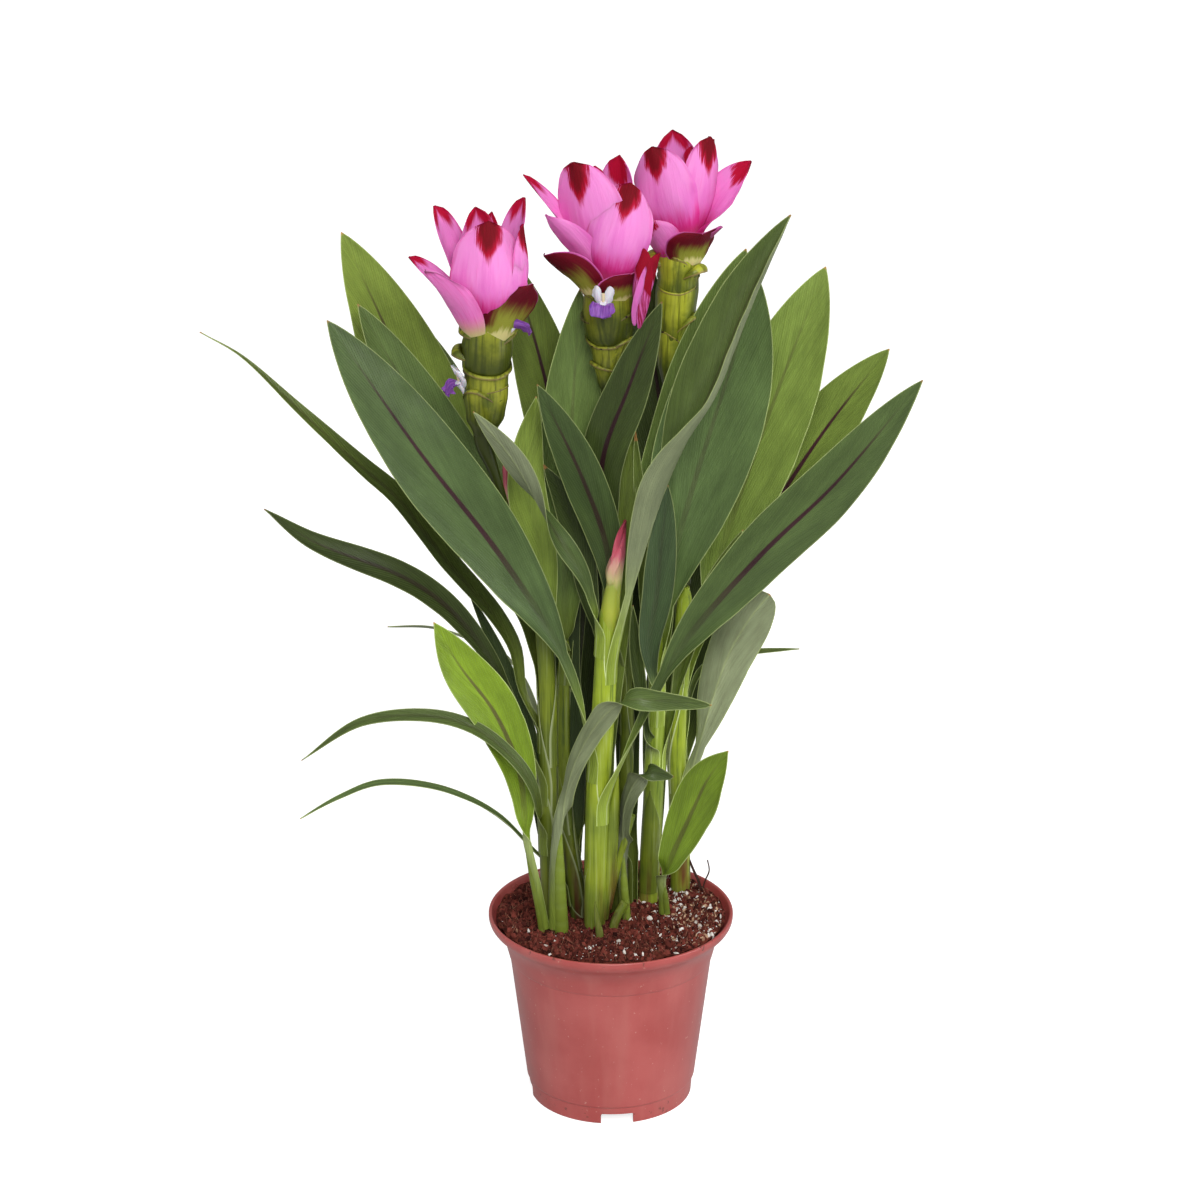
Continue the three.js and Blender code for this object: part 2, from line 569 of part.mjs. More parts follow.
// Flower heads. "stalk" runs from the stem's top, "cone" from the lowest green pouch to the
// foot of the pink crown, "first" is the bearing of the lowest pouch, and "crown" lists the
// pink bracts. A bract is given by its bearing in degrees (0 right, 270 to the front), the
// radius and height it starts "from", how far it bellies from the axis, its tip, and its
// width. Heights and tips are counted from the foot of the crown.
const heads = {
  head_left: {
    stalk: [[-42, -13, 313.6, 2.8], [-56, -16, 356, 2.6], [-64, -19, 386, 2.6], [-69, -20, 406, 3.4]],
    cone: [[-69, -20, 404], [-66, -20, 468]], coneRadius: 12.6, first: 170,
    crown: [
      { bearing: 218, from: [8.4, -7], belly: 20, tip: [-32, -20, 37], width: 33 },
      { bearing: 325, from: [8.4, -8], belly: 17, tip: [24, -12, 25], width: 30 },
      { bearing: 168, from: [8.4, -6], belly: 23, tip: [-42, 6, 37], width: 22 },
      { bearing: 75, from: [8.4, -7], belly: 20, tip: [8, 28, 34], width: 29 },
      { bearing: 272, from: [7, -6], belly: 18, tip: [2, -6, 60], width: 42 },
      { bearing: 155, from: [7, -6], belly: 18, tip: [-28, 10, 64], width: 27 },
      { bearing: 342, from: [5.6, -6], belly: 18, tip: [17, -6, 58], width: 31 },
      { bearing: 30, from: [5.6, -6], belly: 14, tip: [19, 12, 68], width: 25 },
      { bearing: 115, from: [5, -6], belly: 12, tip: [-6, 10, 63], width: 27 },
      { bearing: 62, from: [4, -6], belly: 9, tip: [2, 12, 60], width: 18 },
    ],
  },
  head_middle: {
    stalk: [
      [7, 6, 293.6, 2.6], [5.5, 9, 326, 2.2], [6.5, 8, 361, 2.2], [7, 7, 396, 2.4], [-1, 5, 424, 3.4],
    ],
    cone: [[-2, 5, 421], [-1, 5, 489]], coneRadius: 12.8, first: 195,
    crown: [
      { bearing: 212, from: [8.4, -9], belly: 19, tip: [-35, -12, 15], width: 34 },
      { bearing: 310, from: [8.4, -9], belly: 13, tip: [10, -13, 5], width: 31 },
      { bearing: 80, from: [8.4, -7], belly: 19, tip: [6, 28, 24], width: 29 },
      { bearing: 226, from: [7.4, -6], belly: 18, tip: [-34, -14, 38], width: 28 },
      { bearing: 295, from: [7, -6], belly: 18, tip: [11, -8, 53], width: 37 },
      { bearing: 212, from: [6, -6], belly: 14, tip: [-20, -4, 64], width: 36 },
      { bearing: 168, from: [8, -6], belly: 21, tip: [-46, 4, 55], width: 17 },
      { bearing: 52, from: [6.4, -6], belly: 15, tip: [5, 14, 63], width: 31 },
      { bearing: 358, from: [7, -6], belly: 15, tip: [14, 2, 45], width: 25 },
      { bearing: 122, from: [5, -6], belly: 12, tip: [-8, 14, 57], width: 20 },
    ],
  },
  head_right: {
    stalk: [[42, 30, 301.6, 3], [37, 30, 352, 2.8], [31, 30, 393, 2.8], [31, 30, 412, 3.4]],
    cone: [[32, 30, 414], [38, 30, 504]], coneRadius: 13, first: 85,
    crown: [
      { bearing: 214, from: [8.4, -9], belly: 16, tip: [-19, -15, 16], width: 32 },
      { bearing: 288, from: [8.4, -14], belly: 13, tip: [8, -18, 1], width: 33 },
      { bearing: 340, from: [8.4, -9], belly: 14, tip: [21, -6, 4], width: 24 },
      { bearing: 75, from: [8.4, -7], belly: 19, tip: [6, 27, 24], width: 29 },
      { bearing: 245, from: [7, -6], belly: 17, tip: [-16, -8, 52], width: 39 },
      { bearing: 312, from: [6, -6], belly: 14, tip: [15, -2, 56], width: 31 },
      { bearing: 352, from: [7.6, -6], belly: 20, tip: [37, -4, 43], width: 28 },
      { bearing: 100, from: [6.4, -6], belly: 15, tip: [-5, 12, 56], width: 32 },
      { bearing: 50, from: [4.6, -6], belly: 10, tip: [5, 8, 48], width: 16 },
      { bearing: 30, from: [6, -6], belly: 15, tip: [17, 16, 50], width: 25 },
    ],
  },
};

// A cupped bract: it leaves the crown's foot outwards, bellies and comes up to its tip
function bractGeometry(base, { bearing, from, belly, tip, width, cup = 1 }) {
  const outward = vec(Math.cos(degrees(bearing)), Math.sin(degrees(bearing)), 0);
  const sideways = vec(-outward.y, outward.x, 0);
  const lean = sideways.dot(vec(...tip)) * 0.4;
  const at = (radius, aside, height) => base.clone()
    .addScaledVector(outward, radius).addScaledVector(sideways, aside).add(vec(0, 0, height));
  const curve = new THREE.CatmullRomCurve3([
    at(from[0], 0, from[1]), at(belly, lean, mix(from[1], tip[2], 0.46)), base.clone().add(vec(...tip)),
  ], false, 'centripetal');
  const columns = columnsFor(width, narrowBract);
  const thicknessAt = () => petalThickness;
  const front = [];
  const back = [];
  const rows = [[0, 0.5], [0.28, 0.88], [0.58, 1], [0.84, 0.68], [1, 0.06]];
  for (const [t, wide] of rows) {
    const along = curve.getTangent(t);
    const normal = across(outward.clone().negate().add(vec(0, 0, 0.001)), along);
    const side = along.clone().cross(normal);
    const half = (width / 2) * wide;
    const angle = cup * (1 - 0.35 * t);
    const centre = curve.getPoint(t);
    const { upper, lower } = arcRow({ centre, normal, side, half, angle, columns, thicknessAt });
    front.push(upper);
    back.push(lower);
  }
  return shellBetween(front, back);
}

// A pouch: a green bract that wraps the axis like half a cup, with its lip turned out
function pouchGeometry(base, bearing, mouth, height) {
  const front = [];
  const back = [];
  const rows = [[0, 0.26, 1.1], [0.46, 0.86, 1.45], [1, 1.12, 1.2]];
  for (const [rise, spread, wrap] of rows) {
    const frontRow = [];
    const backRow = [];
    for (let k = -2; k <= 2; k += 1) {
      const angle = degrees(bearing) + (wrap * k) / 2;
      const direction = vec(Math.cos(angle), Math.sin(angle), 0);
      const drop = 1 - 0.06 * k * k * rise;
      const centre = base.clone().add(vec(0, 0, height * rise * drop));
      frontRow.push(centre.clone().addScaledVector(direction, mouth * spread - petalThickness));
      backRow.push(centre.clone().addScaledVector(direction, mouth * spread));
    }
    front.push(frontRow);
    back.push(backRow);
  }
  return shellBetween(front, back);
}

function spikeSolid({ stalk, cone, coneRadius, first }) {
  const [low, high] = cone.map((p) => vec(...p));
  const rise = high.z - low.z;
  const axis = [...stalk, [high.x, high.y, high.z - 26, 7.4], [high.x, high.y, high.z - 15.6, 5.4]];
  const pieces = [barThrough(axis, 7, 6)];
  for (let k = 0; k < pouchCount; k += 1) {
    const t = k / (pouchCount - 1);
    const base = low.clone().lerp(high, t * 0.63);
    const mouth = coneRadius * (0.78 + 0.22 * Math.sqrt(t));
    pieces.push(pouchGeometry(base, first + k * bractAngle, mouth, rise * mix(0.38, 0.3, t)));
  }
  return joined(pieces);
}

// The bracts stand in rings on a thick cup
function crownSolid({ cone, crown }) {
  const foot = vec(...cone[1]);
  const cup = [[-15, 5.6], [-9, 8.8], [-4.6, 8.8]].map(([height, radius]) => (
    circle(foot.clone().add(vec(0, 0, height)), vec(1, 0, 0), vec(0, 1, 0), radius, 9)
  ));
  return joined([solidThrough(cup), ...crown.map((bract) => bractGeometry(foot, bract))]);
}

// Rhizome and soil

const rhizomePath = [[-32, -8], [-15, -5], [1, -3], [18, 12], [33, 27]];
const rhizomeStations = rhizomePath.map(([x, y], k) => [x, y, rhizomeHeight, rhizomeRadius + (k % 2) * 0.4]);

function soilTop(x, y) {
  const mound = 5 * Math.exp(-((x - 14) ** 2 + (y - 4) ** 2) / 180);
  const lumps = 0.9 * Math.sin(x * 0.31 + 1) * Math.cos(y * 0.27) + 0.6 * Math.sin(x * 0.13 - y * 0.41);
  return soilHeight - y * 0.012 + mound + lumps;
}

function soilSolid(holes) {
  const segments = 22;
  const rings = [];
  const side = [[44.1, floorHeight + wall + gap], [56.4, stepHeight], [58.7, 97.7], [61.8, 104.2]];
  const ringAt = (radius, height) => Array.from({ length: segments }, (_, k) => {
    const angle = (k / segments) * 2 * Math.PI;
    const [x, y] = [radius * Math.cos(angle), radius * Math.sin(angle)];
    return vec(x, y, height ?? soilTop(x, y));
  });
  for (const [radius, height] of side) rings.push(ringAt(radius, height));
  for (const radius of [65.6, 52, 37, 22, 8]) rings.push(ringAt(radius));
  let soil = toSolid(solidThrough(rings));
  for (const hole of holes) soil = soil.subtract(toSolid(hole));
  return soil;
}

// The young bud on the middle stem: a spindle with bract tips that overlap it
function budSolid() {
  const base = vec(-1, -14.5, 309.4);
  const spindle = [
    [base.x, base.y, base.z, 4.2], [base.x + 1, base.y, 322, 5.2],
    [base.x + 4, base.y, 338, 4.4], [base.x + 8, base.y - 1, 358, 0.8],
  ];
  const bracts = [200, 320].map((bearing, k) => bractGeometry(
    vec(base.x + 0.5, base.y, 313 + k * 5),
    { bearing, from: [2.5, 0], belly: 5.5, tip: [4 + k * 3, -3, 28 + k * 4], width: 14 },
  ));
  return joined([barThrough(spindle, 4, 6), ...bracts]);
}

// A pink bud on a thin stalk behind the bright leaf
function sideBudSolid() {
  const stations = [
    [-47, -4, 322, 1.6], [-52, 1, 345, 1.6], [-56, 4, 362, 2.6], [-57, 5, 378, 2.9], [-57, 5, 396, 0.5],
  ];
  return joined([barThrough(stations, 6, 7)]);
}

// A small open flower: tube, two hood lobes and a hanging two-lobed lip
function flowerSolid({ at: [x, y, z], bearing, size }) {
  const outward = vec(Math.cos(degrees(bearing)), Math.sin(degrees(bearing)), 0);
  const side = vec(-outward.y, outward.x, 0);
  const station = ([out, aside, up, radius]) => {
    const point = vec(x, y, z)
      .addScaledVector(outward, out * size)
      .addScaledVector(side, aside * size)
      .add(vec(0, 0, up * size));
    return [...point.toArray(), radius * size];
  };
  const bar = (stations) => barThrough(stations.map(station), 2, 4);
  const tube = bar([[-1, 0, -4, 1.2], [1, 0, 0, 1.5], [3, 0, 2, 1.4]]);
  const hoods = [-1, 1].map((s) => bar([[1.5, s, 0, 1], [2, s * 2.8, 4.5, 2], [2.5, s * 3, 9, 0.6]]));
  const lips = [-1, 1].map((s) => bar([[2, s * 0.6, 1, 0.9], [5, s * 2.6, 0, 2], [8, s * 3, -3, 1]]));
  return joined([tube, ...hoods, ...lips]);
}

const flowers = {
  flower_left_outer: { at: [-82, -21, 436], bearing: 190, size: 1 },
  flower_left_inner: { at: [-51, -21, 462], bearing: 350, size: 1 },
  flower_middle: { at: [-4, -10.5, 477], bearing: 262, size: 1.25 },
};

// The lower bract of the middle head that hangs beside the cone, rolled lengthwise
function rolledBractGeometry() {
  const rolled = { bearing: 330, from: [0, 0], belly: 4.5, tip: [7, 0, 38], width: 26, cup: 1.5 };
  return bractGeometry(vec(15.5, -6, 467), rolled);
}

// Colours and finish

const finishes = {
  pot: { color: 0xb9585a, roughness: 0.45 },
  soil: { color: 0x45241d, roughness: 1 },
  rhizome: { color: 0xa58a62, roughness: 0.8 },
  stem: { color: 0x8ba650, roughness: 0.5 },
  leaf: { color: 0x4d6b41, roughness: 0.45 },
  spike: { color: 0x9aa53c, roughness: 0.5 },
  crown: { color: 0xe07bc4, roughness: 0.5 },
  bud: { color: 0xc98f8c, roughness: 0.5 },
  flower: { color: 0x8a62b8, roughness: 0.5 },
};

const group = new THREE.Group();

function place(name, geometry, finish) {
  const material = new THREE.MeshStandardMaterial({ ...finishes[finish], metalness: 0 });
  const mesh = new THREE.Mesh(geometry, material);
  mesh.name = name;
  group.add(mesh);
}

// An upright hole round the foot of a shoot, open above the soil
function footHole([[x, y, z, radius]]) {
  const rings = [z - 3 * gap, soilHeight + 14].map((height) => (
    circle(vec(x, y, height), vec(1, 0, 0), vec(0, 1, 0), radius + 3 * gap, 7)
  ));
  return solidThrough(rings);
}

const stemHoles = Object.keys(stems).map(stemHole);
const shootHoles = [...Object.values(youngShoots).map((shoot) => shoot.stalk), ...Object.values(spears)]
  .map(footHole);
const rhizomeRoom = rhizomeStations.map(([x, y, z, r], k) => [x + (k - 2) * gap, y + (k - 2) * gap, z, r]);
const rhizomeHole = barThrough(rhizomeRoom, 6, 8, 2 * gap);

place('pot', fromSolid(potSolid()), 'pot');
place('soil', fromSolid(soilSolid([...stemHoles, ...shootHoles, rhizomeHole])), 'soil');
place('rhizome', barThrough(rhizomeStations, 6, 8), 'rhizome');
for (const name of Object.keys(stems)) place(`stem_${name}`, stemGeometry(name), 'stem');
for (const [name, leaf] of Object.entries(leaves)) place(`leaf_${name}`, leafGeometry(leaf), 'leaf');
place('sheath_bare', sheathGeometry(bareSheath), 'stem');
for (const [name, shoot] of Object.entries(youngShoots)) {
  place(name, fromSolid(youngShootSolid(shoot)), 'leaf');
}
for (const [name, stations] of Object.entries(spears)) place(name, barThrough(stations, 3, 7), 'stem');
for (const [name, head] of Object.entries(heads)) {
  place(`${name}_spike`, fromSolid(spikeSolid(head)), 'spike');
  place(`${name}_crown`, fromSolid(crownSolid(head)), 'crown');
}
place('bud_middle', fromSolid(budSolid()), 'bud');
place('bud_left', fromSolid(sideBudSolid()), 'bud');
place('bract_rolled', rolledBractGeometry(), 'crown');
for (const [name, flower] of Object.entries(flowers)) {
  place(name, fromSolid(flowerSolid(flower)), 'flower');
}

export default group;
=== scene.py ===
# Potted siam tulip (Curcuma alismatifolia) in a plastic nursery pot, dressed over its frame.
# The tables are in millimetres and become metres where a mesh is made.

import math

import bmesh
import bpy
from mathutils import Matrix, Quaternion, Vector, noise


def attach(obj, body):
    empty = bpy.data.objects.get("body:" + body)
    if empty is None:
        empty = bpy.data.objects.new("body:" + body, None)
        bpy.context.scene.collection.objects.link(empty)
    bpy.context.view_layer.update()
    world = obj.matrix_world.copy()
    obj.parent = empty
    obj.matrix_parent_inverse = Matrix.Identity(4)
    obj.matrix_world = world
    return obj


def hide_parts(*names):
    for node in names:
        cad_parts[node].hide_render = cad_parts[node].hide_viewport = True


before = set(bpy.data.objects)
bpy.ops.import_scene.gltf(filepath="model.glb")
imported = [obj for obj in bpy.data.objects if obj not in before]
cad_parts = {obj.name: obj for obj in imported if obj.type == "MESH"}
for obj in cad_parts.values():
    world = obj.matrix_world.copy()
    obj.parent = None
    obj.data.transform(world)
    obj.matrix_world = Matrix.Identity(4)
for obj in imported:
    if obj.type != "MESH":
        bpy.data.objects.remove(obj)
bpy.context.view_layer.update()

mm = 0.001
up = Vector((0, 0, 1))


def mix(a, b, t):
    return a + (b - a) * t


def smooth(low, high, x):
    t = min(max((x - low) / (high - low), 0), 1)
    return t * t * (3 - 2 * t)


def bearingVector(degrees):
    angle = math.radians(degrees)
    return Vector((math.cos(angle), math.sin(angle), 0))


def across(vector, along):
    return (vector - along * vector.dot(along)).normalized()


def between(table, x):                      # a value of a table [[x, value], ...], eased from row to row
    for (a, low), (b, high) in zip(table, table[1:]):
        if x <= b:
            return mix(low, high, smooth(a, b, x))
    return table[-1][1]


# Routes

def routePoint(points, t):                  # centripetal Catmull-Rom through the points
    last = len(points) - 1
    k = min(int(last * t), last - 1)
    weight = last * t - k
    p1, p2 = points[k], points[k + 1]
    p0 = points[k - 1] if k else p1 * 2 - p2
    p3 = points[k + 2] if k + 2 <= last else p2 * 2 - p1
    d0, d1, d2 = [max((b - a).length, 1e-4) ** 0.5 for a, b in ((p0, p1), (p1, p2), (p2, p3))]
    m1 = ((p1 - p0) / d0 - (p2 - p0) / (d0 + d1) + (p2 - p1) / d1) * d1
    m2 = ((p2 - p1) / d1 - (p3 - p1) / (d1 + d2) + (p3 - p2) / d2) * d1
    w2, w3 = weight ** 2, weight ** 3
    ends = p1 * (2 * w3 - 3 * w2 + 1) + p2 * (3 * w2 - 2 * w3)
    return ends + m1 * (w3 - 2 * w2 + weight) + m2 * (w3 - w2)


def routeDirection(points, t, step=1e-4):
    return (routePoint(points, min(t + step, 1)) - routePoint(points, max(t - step, 0))).normalized()


def evenRoute(points, count=300):           # the length of a route, and a function from a share of it to t
    stops = [routePoint(points, k / count) for k in range(count + 1)]
    lengths = [0]
    for a, b in zip(stops, stops[1:]):
        lengths.append(lengths[-1] + (b - a).length)
    total = lengths[-1]

    def tAt(share):
        wanted, low, high = share * total, 0, count
        while high - low > 1:
            middle = (low + high) // 2
            low, high = (middle, high) if lengths[middle] <= wanted else (low, middle)
        return (low + (wanted - lengths[low]) / max(lengths[high] - lengths[low], 1e-9)) / count
    return total, tAt


# Meshes. A draft collects points, faces and the values that the materials read at each point.

valueNames = ("across", "share", "along", "half", "upper", "kind")


def newDraft():
    return {"points": [], "faces": [], "values": []}


def addFaces(draft, points, values, faces):
    volume = 0
    for face in faces:                      # a body that is inside out is turned
        a = points[face[0]]
        for k in range(1, len(face) - 1):
            volume += a.dot(points[face[k]].cross(points[face[k + 1]]))
    start = len(draft["points"])
    order = 1 if volume >= 0 else -1
    draft["points"] += [p * mm for p in points]
    draft["values"] += values
    draft["faces"] += [[start + k for k in face[::order]] for face in faces]


# A shell has rows of (a point, the point behind it, (across, share, along, half), kind)
def addShell(draft, rows, flags=(1, 0)):
    count, columns = len(rows), len(rows[0])

    def at(side, row, column):
        return (side * count + row) * columns + column
    faces = []
    for row in range(count - 1):
        for column in range(columns - 1):
            corners = ((row, column), (row, column + 1), (row + 1, column + 1), (row + 1, column))
            faces.append([at(0, r, c) for r, c in corners])
            faces.append([at(1, r, c) for r, c in reversed(corners)])
        last = columns - 1
        faces.append([at(0, row, 0), at(0, row + 1, 0), at(1, row + 1, 0), at(1, row, 0)])
        faces.append([at(0, row + 1, last), at(0, row, last), at(1, row, last), at(1, row + 1, last)])
    last = count - 1
    for column in range(columns - 1):
        after = column + 1
        faces.append([at(0, 0, after), at(0, 0, column), at(1, 0, column), at(1, 0, after)])
        faces.append([at(0, last, column), at(0, last, after), at(1, last, after), at(1, last, column)])
    points = [cell[side] for side in (0, 1) for row in rows for cell in row]
    values = [(*cell[2], flag, cell[3]) for flag in flags for row in rows for cell in row]
    addFaces(draft, points, values, faces)


def addTube(draft, rings, values):          # rings of points, closed by a fan at each end
    sides, count = len(rings[0]), len(rings)
    points = [p for ring in rings for p in ring]
    points += [sum(ring, Vector()) / sides for ring in (rings[0], rings[-1])]
    pointValues = [value for value in values for _ in range(sides)] + [values[0], values[-1]]
    foot = count * sides
    faces = []
    for side in range(sides):
        following = (side + 1) % sides
        for ring in range(count - 1):
            a, b = ring * sides + side, ring * sides + following
            faces.append([a, b, b + sides, a + sides])
        top = (count - 1) * sides
        faces += [[foot, following, side], [foot + 1, top + side, top + following]]
    addFaces(draft, points, pointValues, faces)


def ringAround(centre, side, forward, radius, sides, relief=None):
    ring = []
    for k in range(sides):
        angle = k / sides * 2 * math.pi
        reach = radius * (1 + (relief(angle) if relief else 0))
        ring.append(centre + side * (reach * math.cos(angle)) + forward * (reach * math.sin(angle)))
    return ring


def addBar(draft, stations, steps, sides, kind=0, relief=None):     # a bar along [x, y, z, radius]
    points = [Vector(s[:3]) for s in stations]
    total, _ = evenRoute(points, 40)
    rings, values = [], []
    for step in range(steps + 1):
        t = step / steps
        along = routeDirection(points, t)
        side = (Vector((1, 0, 0)) - along * along.x).normalized()
        place = t * (len(stations) - 1)
        before = min(int(place), len(stations) - 2)
        radius = mix(stations[before][3], stations[before + 1][3], place - before)
        rings.append(ringAround(routePoint(points, t), side, along.cross(side), radius, sides, relief))
        values.append((0, t, t * total, radius, 1, kind))
    addTube(draft, rings, values)
    return draft


def ribbed(depth, count):                   # a relief for a bar
    return lambda angle: depth * math.cos(count * angle)


def addObject(name, data):
    made = bpy.data.objects.new(name, data)
    bpy.context.scene.collection.objects.link(made)
    return made


def shapedMesh(thing):                      # its mesh with the modifiers applied
    return bpy.data.meshes.new_from_object(thing.evaluated_get(bpy.context.evaluated_depsgraph_get()))


def storeValues(mesh, name, values):
    mesh.attributes.new(name, "FLOAT", "POINT").data.foreach_set("value", values)


def makePiece(name, draft, material, slot, nodes, sharpAngle=50, **constants):
    mesh = bpy.data.meshes.new(name)
    mesh.from_pydata(draft["points"], [], draft["faces"])
    mesh.materials.append(material)
    for k, valueName in enumerate(valueNames):
        storeValues(mesh, valueName, [v[k] for v in draft["values"]])
    for valueName, value in constants.items():
        storeValues(mesh, valueName, [value] * len(mesh.vertices))
    mesh.shade_smooth()
    mesh.set_sharp_from_angle(angle=math.radians(sharpAngle))
    return placePiece(name, mesh, nodes)


def placePiece(name, mesh, nodes=()):
    piece = addObject(name, mesh)
    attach(piece, "root")
    if nodes:
        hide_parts(*nodes)
    return piece


# Material helpers. The bench holds the tree that is being wired, and a Wire is one of its sockets.

bench = {}


class Wire:
    def __init__(self, socket):
        self.socket = socket

    def __add__(self, other):
        return calculate("ADD", self, other)

    def __sub__(self, other):
        return calculate("SUBTRACT", self, other)

    def __rsub__(self, other):
        return calculate("SUBTRACT", other, self)

    def __mul__(self, other):
        return calculate("MULTIPLY", self, other)

    def __truediv__(self, other):
        return calculate("DIVIDE", self, other)

    def __abs__(self):
        return calculate("ABSOLUTE", self)


def wireInto(socket, value):
    value = value.socket if isinstance(value, Wire) else value
    if isinstance(value, bpy.types.NodeSocket):
        bench["tree"].links.new(value, socket)
    else:
        socket.default_value = (*value[:3], 1) if socket.type == "RGBA" else value


def addNode(kind, links=None, out=0, **settings):
    node = bench["tree"].nodes.new(kind)
    for key, value in settings.items():
        setattr(node, key, value)
    for key, value in (links or {}).items():
        wireInto(node.inputs[key], value)
    return Wire(node.outputs[out])


def calculate(operation, *values, clamp=False):
    return addNode("ShaderNodeMath", dict(enumerate(values)), operation=operation, use_clamp=clamp)


def larger(a, b):
    return calculate("MAXIMUM", a, b)


def mapRange(value, low, high, toLow=0, toHigh=1, kind="SMOOTHSTEP"):
    links = {"Value": value, "From Min": low, "From Max": high, "To Min": toLow, "To Max": toHigh}
    return addNode("ShaderNodeMapRange", links, interpolation_type=kind)


def blendColours(factor, a, b, kind="MIX"):
    return addNode("ShaderNodeMix", {0: factor, 6: a, 7: b}, 2, data_type="RGBA", blend_type=kind)


def combine(*values):
    return addNode("ShaderNodeCombineXYZ", dict(enumerate(values)))


def lighten(colour, light):
    return blendColours(1, colour, combine(light, light, light), "MULTIPLY")


def readValue(name):
    return addNode("ShaderNodeAttribute", out="Fac", attribute_name=name)


def readPlace():
    return addNode("ShaderNodeTexCoord", out="Object")


def makeNoise(scale, detail=3, roughness=0.5, stretch=None, vector=None):
    place = combine(*vector) if vector else readPlace()
    if stretch:
        place = addNode("ShaderNodeMapping", {"Vector": place, "Scale": stretch})
    links = {"Vector": place, "Scale": scale, "Detail": detail, "Roughness": roughness}
    return addNode("ShaderNodeTexNoise", links)


def startGroup(name, kind, inputs, outputs):
    group = bpy.data.node_groups.new(name, kind)
    for way, sockets in (("INPUT", inputs), ("OUTPUT", outputs)):
        for label, socketKind in sockets.items():
            group.interface.new_socket(name=label, in_out=way, socket_type="NodeSocket" + socketKind)
    bench["tree"] = group
    return group, group.nodes.new("NodeGroupInput").outputs, group.nodes.new("NodeGroupOutput").inputs


def startMaterial(name, roughness, **constants):
    material = bpy.data.materials.new(name)
    material.use_nodes = True
    bench["tree"] = material.node_tree
    shader = material.node_tree.nodes["Principled BSDF"]
    for label, value in {"Roughness": roughness, **constants}.items():
        shader.inputs[label.replace("_", " ")].default_value = value
    return material


def finishMaterial(material, colour, height, depth, strength=1, rough=None):    # depth in millimetres
    inputs = material.node_tree.nodes["Principled BSDF"].inputs
    bump = addNode("ShaderNodeBump", {"Height": height, "Distance": depth * mm, "Strength": strength})
    wireInto(inputs["Base Color"], colour)
    wireInto(inputs["Normal"], bump)
    if rough:
        wireInto(inputs["Roughness"], rough)
    return material


# Fine parallel veins that leave the midrib at a slant and run on to the tip, with a mottled skin
def makeVeinGroup():
    group, given, result = startGroup("veinedSkin", "ShaderNodeTree", {
        "spacing": "Float", "slant": "Float", "mottle": "Float", "colour": "Color", "veinColour": "Color",
        "strength": "Float",
    }, {"colour": "Color", "height": "Float"})
    aside = abs(readValue("across")) * readValue("half")
    along = readValue("along")
    slid = aside - along * given["slant"]
    drift = makeNoise(45, detail=2)
    wave = calculate("SINE", (drift * 2.2 + slid * (2 * math.pi)) / given["spacing"])
    vein = mapRange(wave, 0.2, 1)
    lane = makeNoise(1, detail=3, vector=(slid * 0.55, along * 0.02, readValue("upper")))
    blotches = makeNoise(60, detail=4, roughness=0.6)
    shade = lane - 0.5 + (blotches - 0.5) * 0.8
    toned = lighten(given["colour"], shade * given["mottle"] + 1)
    wireInto(result["colour"], blendColours(vein * given["strength"], toned, given["veinColour"]))
    wireInto(result["height"], lane - vein * 0.5)
    return group


veinedSkin = makeVeinGroup()


# Stems. Each is a list of axis stations [x, y, z, radius] from the rhizome upwards.

stems = {
    "left": [
        [-31, -9, 80.7, 4.4], [-33.5, -10, 110, 4.6], [-35, -10, 161, 4.8],
        [-35, -10, 211, 4.8], [-37, -11, 284, 4.8], [-41, -12.5, 312, 3.8],
    ],
    "back_left": [
        [-16, 0, 80.7, 4.6], [-17.5, 0, 110, 4.8], [-22, 2, 142, 4.4],
        [-26, 5, 170, 4.2], [-28, 8, 210, 4], [-27, 9.5, 250, 3.8], [-25.5, 13.5, 276, 2.6],
    ],
    "middle": [
        [-9, -11, 80.7, 5.4], [-9.5, -12, 110, 5.6], [-8.5, -12, 140, 6.2],
        [-7, -12, 198, 6], [-4, -13, 248, 5.6], [-2, -14, 290, 5.4], [-1, -14.5, 309, 4.6],
    ],
    "centre": [
        [0, 0, 80.7, 3.2], [2, 1, 110, 3.6], [5.5, 3, 150, 3.6],
        [9, 6, 205, 3.5], [9, 7, 246, 3.4], [7, 6, 292, 2.9],
    ],
    "right": [
        [19.5, 14, 80.7, 5.2], [21.5, 16, 110, 5.6], [23, 15, 146, 5.2],
        [24.5, 13, 190, 4.8], [25.5, 11, 232, 4.4], [26, 10, 288, 3],
    ],
    "far_right": [
        [33, 28, 80.7, 4.6], [37.5, 31.5, 95, 4.8], [40.5, 34.5, 112, 5], [39, 34, 160, 4.8],
        [37.5, 32, 205, 4.6], [39, 30, 255, 4.6], [42, 30, 300, 4],
    ],
}

# light is painted light and shade on each stem, lighter where it is lit and darker in the clump's shade
stemLook = {"rows": 110, "sides": 56, "ribs": 26, "ribDepth": 0.012,
            "light": {"left": 0.75, "back_left": 0.7, "middle": 1.75, "centre": 0.55, "right": 2.1,
                      "far_right": 2.1},
            "flush": {"left": 0.2, "back_left": 0.9, "middle": 0.35, "centre": 0.3, "right": 1,
                      "far_right": 1}}

sheathLook = {"rows": 26, "columns": 18, "length": 70, "footWrap": 2.5, "lift": 0.4, "thickness": 0.45}

bareSheath = {"stem": "right", "top": 184, "length": 66, "side": 250, "wrapTop": 1.35, "wrapFoot": 1.35,
              "lift": 0.6}


